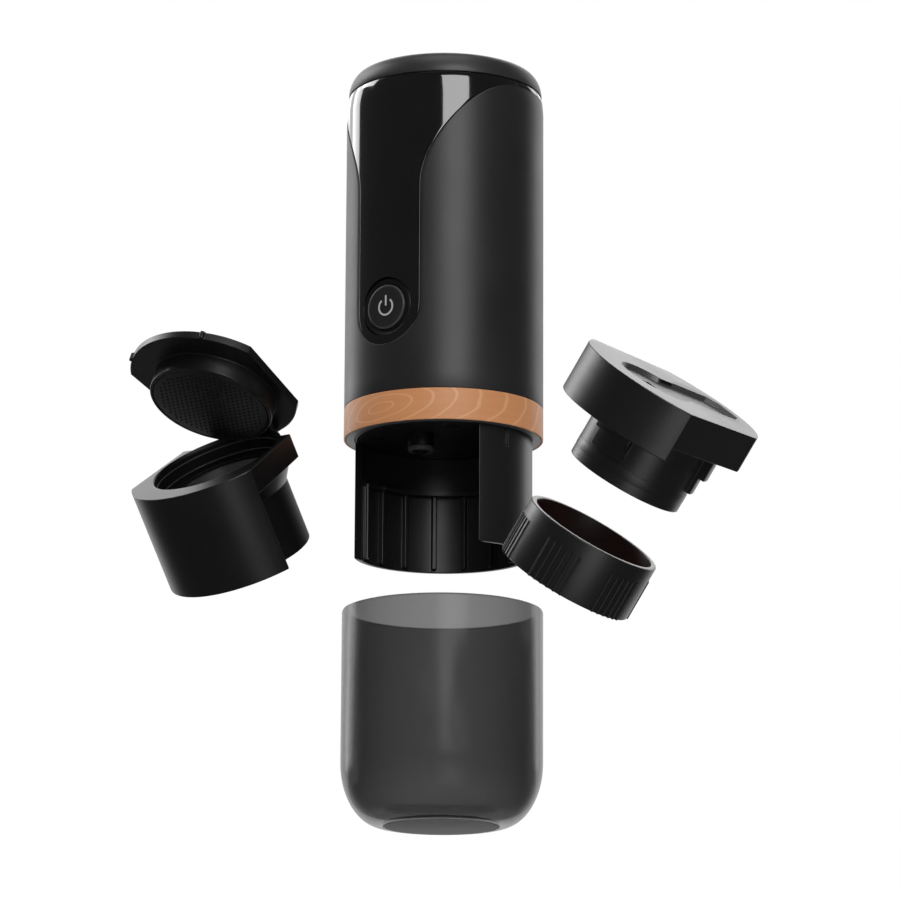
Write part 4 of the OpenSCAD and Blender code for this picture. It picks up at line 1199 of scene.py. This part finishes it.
@dataclass
class BrewHolder:
    """The brew holder with its filter basket, and its lid with the shower plate."""

    edge_soft: float = 0.35
    shower_r: float = 20.6
    shower_face: float = -6.5
    shower_t: float = 1.2
    hole_pitch: float = 2.0
    hole_r: float = 0.42
    mouth_r: float = 22.6
    bead_r: float = 0.24
    bead_at: Point = (-2.6, -6.4)
    drum_r: float = 20.86
    neck_r: float = 24.26
    neck_low: float = -14.9
    neck_high: float = -8.9
    neck_lap: float = 0.3

    def build_body(self) -> bpy.types.Object:
        """The holder's body, with painted shade inside its mouth: a darker, duller copy of its satin black."""
        body = softened("holder_body", "holder_shell", self.edge_soft, 60.0)
        for finish in (HOLDER_SATIN, INSIDE_PAINTED_SHADE):
            body.data.materials.append(finish.material())
        # Faces inside the mouth take the painted shade.
        inwards = LAYOUT.holder().inverted()
        for face in body.data.polygons:
            local = inwards @ (face.center / MM)
            face.material_index = int(local.xy.length < self.mouth_r + 0.2 and local.z < -1.2)
        return body

    def build_neck(self) -> bpy.types.Object:
        """The smooth cone between the drum and the mouth."""
        low, high, lap = self.neck_low, self.neck_high, self.neck_lap
        outline = [(self.drum_r - 0.4, low - lap), (self.drum_r, low - lap), (self.drum_r, low),
                   (self.neck_r, high), (self.neck_r, high + lap), (self.neck_r - 0.4, high + lap)]
        neck = turned("holder_neck", outline, LAYOUT.holder(), sharp=20.0)
        neck.data.materials.append(HOLDER_SATIN.material())
        return neck

    def build_beads(self) -> list[bpy.types.Object]:
        """The two fine beads round the inside of the mouth, coloured lighter than the holder as a painted highlight."""
        turns = [2 * math.pi * i / 10 for i in range(10)]
        beads = [turned(f"mouth_bead_{i}", [(self.mouth_r + self.bead_r * math.cos(t), height + self.bead_r * math.sin(t))
                                            for t in turns], LAYOUT.holder(), 120) for i, height in enumerate(self.bead_at)]
        for bead in beads:
            bead.data.materials.append(BEAD_PAINTED_HIGHLIGHT.material())
        return beads

    def build_shower(self) -> bpy.types.Object:
        """The shower plate, with thin dark discs on its face painted as the shade in its perforation."""
        low = self.shower_face
        outline = [(0.0, low), (self.shower_r, low), (self.shower_r, low + self.shower_t), (0.0, low + self.shower_t)]
        plate = turned("shower_disc", rounded(outline, 0.3, 3), LAYOUT.lid())
        plate.data.materials.append(SHOWER_DARK.material())
        # The perforation is not cut: dark discs flush with the plate's face are painted shade.
        values = {"Field Radius": (self.shower_r - 2.2) * MM, "Pitch": self.hole_pitch * MM, "Across": 41,
                  "Hole Radius": self.hole_r * MM, "Hole Depth": 0.08 * MM, "Material": HOLE_PAINTED_SHADE.material()}
        holes = grown("shower_hole_shade", hole_tree(), values, LAYOUT.lid() @ Matrix.Translation((0, 0, low)))
        return joined("shower_with_hole_shade", [plate, holes])

    def dress(self) -> None:
        """Builds the holder and its lid and gives them their finishes."""
        bowl = joined("holder_bowl", [self.build_body(), self.build_neck(), *self.build_beads()])
        stand_for(bowl, "holder_body")
        stand_for(softened("holder_lid", "lid_shell", 0.35), "holder_lid", HOLDER_SATIN.material())
        stand_for(self.build_shower(), "shower_plate")
        # The basket gasket inside the mouth takes the painted shade too.
        stand_for(softened("basket_gasket", "basket_gasket_soft", 0.3), "basket_gasket", INSIDE_PAINTED_SHADE.material())


@dataclass
class Adapter:
    """The adapter head with its spigot, and the ribbed ring that locks on it."""

    edge_soft: float = 0.25
    ring_r: float = 22.3
    ring_in_r: float = 20.45
    ring_h: float = 18.5
    ring_bottom: float = -70.2
    rib_h: float = 13.5
    rib_groups: int = 6
    ribs_in_group: int = 6
    rib_step: float = 6.0
    pocket_r: float = 12.0
    pocket_front: float = -10.0
    pocket_back: float = 14.0
    pocket_neck: float = 7.5
    pocket_deep: float = 6.5
    pocket_over: float = 0.5
    pocket_sunk: float = 1.5
    pocket_draft: float = 0.9
    channel_w: float = 8.2
    channel_end: float = 25.0
    channel_cut: float = 3.5
    inlet_y: float = -12.2
    inlet_w: float = 4.8
    seal_in_r: float = 18.25
    seal_r: float = 19.06
    seal_low: float = -29.6
    seal_t: float = 3.0

    def lobe(self, middle: float, radius: float, half: float, way: int) -> list[Point]:
        """A round lobe that is open towards one end.

        Args:
            middle: Where the lobe's middle lies along Y.
            radius: Radius of the lobe.
            half: Half width of the opening.
            way: 1 for an opening towards +Y, -1 for one towards -Y.

        Returns:
            Points from one side of the opening to the other.
        """
        first = math.asin(half / radius)
        turns = [first + (2 * math.pi - 2 * first) * i / 48 for i in range(49)]
        return [(way * radius * math.sin(t), middle + way * radius * math.cos(t)) for t in turns]

    def keyhole(self, inset: float) -> list[Point]:
        """The pocket's outline, a round lobe and a narrower channel, drawn in by a distance."""
        half, end, cut = self.channel_w - inset, self.channel_end - inset, self.channel_cut
        corners = [(-half, end - cut), (cut - half, end), (half - cut, end), (half, end - cut)]
        return self.lobe(self.pocket_front, self.pocket_r - inset, half, 1) + corners

    def build_pocket(self) -> bpy.types.Object:
        """The lining of the pocket in the adapter's top, with drafted walls and the square inlet, painted lighter than
        the adapter as painted light, with painted shade on the inlet's floor.
        """
        place, over = LAYOUT.adapter(), self.pocket_over
        mouth = [self.lobe(middle, self.pocket_r + over, self.pocket_neck + over, way)
                 for middle, way in ((self.pocket_front, 1), (self.pocket_back, -1))]
        lining = prism("pocket_lining", mouth[0] + mouth[1], -self.pocket_deep, -0.02, place)
        slope = self.pocket_draft / self.pocket_sunk
        carved(lining, prism("pocket_tool", self.keyhole(self.pocket_draft), -self.pocket_sunk, 0.5, place,
                             self.keyhole(-0.5 * slope)))
        half = self.inlet_w / 2
        corners = [(-half, self.inlet_y - half), (half, self.inlet_y - half),
                   (half, self.inlet_y + half), (-half, self.inlet_y + half)]
        carved(lining, prism("inlet_tool", corners, 0.5 - self.pocket_deep, 0.0, place))
        # The lining's lighter colour is painted light, and the inlet's near-black floor is painted shade.
        for finish in (POCKET_PAINTED_LIGHT, HOLE_PAINTED_SHADE):
            lining.data.materials.append(finish.material())
        axis, sunk = place.inverted(), self.pocket_sunk + 0.05
        for face in lining.data.polygons:
            local = axis @ (face.center / MM)
            inside = max(abs(local.x), abs(local.y - self.inlet_y)) < half + 0.05
            face.material_index = 1 if inside and local.z < -sunk else 0
        return lining

    def build_ring(self) -> bpy.types.Object:
        """The ring with its groups of ribs."""
        place = LAYOUT.adapter() @ Matrix.Translation((0, 0, self.ring_bottom))
        outline = [(self.ring_in_r, 0.0), (self.ring_r, 0.0), (self.ring_r, self.ring_h), (self.ring_in_r, self.ring_h)]
        ring = turned("ring_band", rounded(outline, 0.4, 4), place, 144)
        ring.data.materials.append(ADAPTER_SATIN.material())
        ring.data.materials.append(RING_INSIDE.material())
        axis = place.inverted()
        for face in ring.data.polygons:
            local = axis @ (face.center / MM)
            face.material_index = 1 if local.xy.length < self.ring_in_r + 0.02 else 0
        values = {"Groups": self.rib_groups, "In Group": self.ribs_in_group, "Group Turn": 2 * math.pi / self.rib_groups,
                  "Rod Turn": math.radians(self.rib_step), "Circle Radius": (self.ring_r - 0.05) * MM, "Rod Radius": 0.42 * MM,
                  "Rod Height": self.rib_h * MM, "Material": ADAPTER_SATIN.material()}
        return joined("ring_ribbed", [ring, grown("ring_ribs", rod_tree(), values, place)])

    def dress(self) -> None:
        """Builds the adapter and its ring and gives them their finishes."""
        head = softened("adapter_head", "adapter_shell", self.edge_soft)
        head.data.materials.append(ADAPTER_SATIN.material())
        stand_for(joined("adapter_body", [head, self.build_pocket()]), "adapter_head")
        stand_for(self.build_ring(), "adapter_ring")
        outline = [(self.seal_in_r, self.seal_low), (self.seal_r, self.seal_low),
                   (self.seal_r, self.seal_low + self.seal_t), (self.seal_in_r, self.seal_low + self.seal_t)]
        seal = turned("adapter_seal_flush", rounded(outline, 0.1, 3), LAYOUT.adapter())
        stand_for(seal, "adapter_seal", ADAPTER_SATIN.material())


@dataclass
class Works:
    """The pieces inside, which keep their CAD shapes."""

    finishes: dict[str, Finish] = field(default_factory=lambda: {
        "ceiling_screws": BLACK_SCREW, "water_tank": TANK_GREY, "upper_deck": CAST_GREY, "deck_posts": PLAIN_STEEL,
        "battery_cells": CELL_GREEN, "cell_cradle": BAY_SATIN, "control_board": BOARD_GREEN, "button_switch": BAY_SATIN,
        "charge_board": BOARD_GREEN, "charge_socket": PLAIN_STEEL, "pump_body": CAST_GREY, "pump_cover": CAST_GREY,
        "pump_motor": PLAIN_STEEL, "inlet_tube": TUBE_PALE, "outlet_tube": TUBE_PALE, "cap_gasket": GASKET_DARK,
        "drive_gear": CUT_BRASS, "idler_gear": CUT_BRASS, "filter_basket": PLAIN_STEEL,
        "hinge_pin": PLAIN_STEEL, "lid_gasket": GASKET_DARK, "adapter_screen": PLAIN_STEEL})

    def dress(self) -> None:
        """Gives every inner node its finish."""
        stand_for(softened("port_plug", "port_plug_soft", 0.3), "port_plug", GASKET_DARK.material())
        for node, finish in self.finishes.items():
            materials = frame["nodes"][node].data.materials
            materials.clear()
            materials.append(finish.material())
            LOG.info("%s keeps its solid", node)


@dataclass
class Studio:
    """White backdrop, pale floor, soft lamps and the camera."""

    azimuth: float = 36.6
    elevation: float = -12.8
    distance: float = 1528.0
    aim_z: float = 133.1
    aim_right: float = 2.3
    focal_px: float = 4357.0
    frame_px: float = 900.0
    roll: float = 0.3
    sensor: float = 36.0

    def back(self) -> Vector:
        """Direction from the object to the camera."""
        a, e = math.radians(self.azimuth), math.radians(self.elevation)
        return Vector((math.sin(a) * math.cos(e), -math.cos(a) * math.cos(e), math.sin(e)))

    def right(self) -> Vector:
        """Direction to the right of the picture."""
        a = math.radians(self.azimuth)
        return Vector((math.cos(a), math.sin(a), 0.0))

    def aside(self, turn: float) -> Vector:
        """A level direction from the object, turned to the right of the camera's by an angle in degrees."""
        a = math.radians(self.azimuth + turn)
        return Vector((math.sin(a), -math.cos(a), 0.0))

    def build_camera(self) -> None:
        """The camera, which looks up at the set as the photograph does."""
        data = bpy.data.cameras.new("camera")
        camera = bpy.data.objects.new("camera", data)
        bpy.context.scene.collection.objects.link(camera)
        data.sensor_width, data.lens = self.sensor, self.sensor * self.focal_px / self.frame_px
        data.clip_start, data.clip_end = 0.01, 50.0
        aim = Vector((0.0, 0.0, self.aim_z)) + self.right() * self.aim_right
        camera.location = (aim + self.back() * self.distance) * MM
        look = (-self.back()).to_track_quat("-Z", "Y").to_matrix().to_4x4()
        camera.rotation_euler = (look @ Matrix.Rotation(math.radians(self.roll), 4, "Z")).to_euler()
        bpy.context.scene.camera = camera

    def build_lamp(self, name: str, towards: Vector, distance: float, size: Point, watts: float) -> None:
        """A soft lamp that points at the middle of the set.

        Args:
            name: Name of the lamp.
            towards: Direction from the set to the lamp.
            distance: Distance of the lamp in metres.
            size: Width and height in metres.
            watts: Power of the lamp.
        """
        data = bpy.data.lights.new(name, "AREA")
        data.shape, data.size, data.size_y, data.energy = "RECTANGLE", size[0], size[1], watts
        lamp = bpy.data.objects.new(name, data)
        bpy.context.scene.collection.objects.link(lamp)
        lamp.location = Vector((0.0, 0.0, 0.14)) + towards.normalized() * distance
        lamp.rotation_euler = (-towards).to_track_quat("-Z", "Y").to_euler()

    def build_world(self) -> None:
        """A white backdrop to look at, and a softer, darker room that lights the set from the camera's side."""
        world = bpy.data.worlds.new("backdrop")
        world.use_nodes = True
        bpy.context.scene.world = world
        graph = NodeGraph(world.node_tree)
        plain = world.node_tree.nodes["Background"]
        plain.inputs["Color"].default_value = (1.0, 1.0, 1.0, 1.0)
        room = graph.add("ShaderNodeBackground")
        away = -self.back()
        place = graph.add("ShaderNodeTexCoord")
        facing = graph.add("ShaderNodeVectorMath", operation="DOT_PRODUCT")
        facing.inputs[1].default_value = (away.x, away.y, 0.25)
        graph.link(place.outputs["Generated"], facing.inputs[0])
        share = graph.add("ShaderNodeMapRange", interpolation_type="SMOOTHSTEP")
        share.inputs["From Min"].default_value, share.inputs["From Max"].default_value = 0.60, 0.84
        graph.link(facing.outputs["Value"], share.inputs["Value"])
        axes = graph.add("ShaderNodeSeparateXYZ")
        graph.link(place.outputs["Generated"], axes.inputs[0])
        lift = graph.add("ShaderNodeMapRange", interpolation_type="SMOOTHSTEP")
        lift.inputs["From Min"].default_value, lift.inputs["From Max"].default_value = -0.60, -0.30
        graph.link(axes.outputs["Z"], lift.inputs["Value"])
        bright = graph.math("MULTIPLY", share.outputs["Result"], lift.outputs["Result"])
        graph.link(graph.blend(bright, (0.07, 0.07, 0.0715), (1.0, 1.0, 1.0)), room.inputs["Color"])
        path = graph.add("ShaderNodeLightPath")
        mix = graph.add("ShaderNodeMixShader")
        graph.link(path.outputs["Is Camera Ray"], mix.inputs[0])
        graph.link(room.outputs[0], mix.inputs[1])
        graph.link(plain.outputs[0], mix.inputs[2])
        graph.link(mix.outputs[0], world.node_tree.nodes["World Output"].inputs["Surface"])

    def build_floor(self) -> None:
        """A pale floor that is open to sight and light from below, where the camera stands."""
        half = 3.0
        mesh = bpy.data.meshes.new("floor")
        mesh.from_pydata([(-half, -half, -0.0004), (half, -half, -0.0004), (half, half, -0.0004), (-half, half, -0.0004)], [], [(0, 1, 2, 3)])
        floor = bpy.data.objects.new("floor", mesh)
        bpy.context.scene.collection.objects.link(floor)
        pale = bpy.data.materials.new("floor_pale")
        pale.use_nodes = True
        graph = NodeGraph(pale.node_tree)
        shader = pale.node_tree.nodes["Principled BSDF"]
        shader.inputs["Base Color"].default_value = (0.86, 0.86, 0.86, 1.0)
        shader.inputs["Roughness"].default_value = 0.9
        clear = graph.add("ShaderNodeBsdfTransparent")
        side = graph.add("ShaderNodeNewGeometry")
        path = graph.add("ShaderNodeLightPath")
        passing = graph.math("MAXIMUM", path.outputs["Is Shadow Ray"], path.outputs["Is Glossy Ray"])
        open_to = graph.math("MAXIMUM", side.outputs["Backfacing"], passing)
        mix = graph.add("ShaderNodeMixShader")
        graph.link(open_to, mix.inputs[0])
        graph.link(shader.outputs[0], mix.inputs[1])
        graph.link(clear.outputs[0], mix.inputs[2])
        graph.link(mix.outputs[0], pale.node_tree.nodes["Material Output"].inputs["Surface"])
        mesh.materials.append(pale)

    def set_up(self) -> None:
        """Builds the whole studio."""
        scene = bpy.context.scene
        scene.view_settings.view_transform = "Standard"
        self.build_camera()
        self.build_world()
        self.build_floor()
        back, up = self.aside(0.0), Vector((0.0, 0.0, 1.0))
        self.build_lamp("front_box", self.aside(12.6) + up * 0.40, 3.0, (1.53, 1.8), 43.0)
        self.build_lamp("top_box", up + back * 0.25, 1.2, (0.8, 0.8), 3.2)
        self.build_lamp("rear_box", up * 0.75 - back, 1.5, (1.2, 0.8), 4.0)
        self.build_lamp("left_strip", self.aside(-131.5) + up * 0.36, 2.6, (0.86, 1.8), 13.0)
        self.build_lamp("left_top", self.aside(-114) + up * 0.84, 2.4, (1.0, 0.9), 13.0)
        self.build_lamp("right_strip", self.aside(136.0) + up * 0.36, 2.6, (0.70, 1.8), 4.6)
        self.build_lamp("low_box", self.aside(12.6) - up * 0.55, 1.35, (0.55, 0.6), 1.5)


def main() -> None:
    """Builds and dresses every sub-assembly in order."""
    logging.basicConfig(level=logging.INFO, format="%(name)s: %(message)s")
    for assembly in (Casing(), Cap(), PowerButton(), WoodBand(), BrewBay(), Cup(), BrewHolder(), Adapter(), Works()):
        assembly.dress()
    Studio().set_up()


if __name__ == "__main__":
    main()
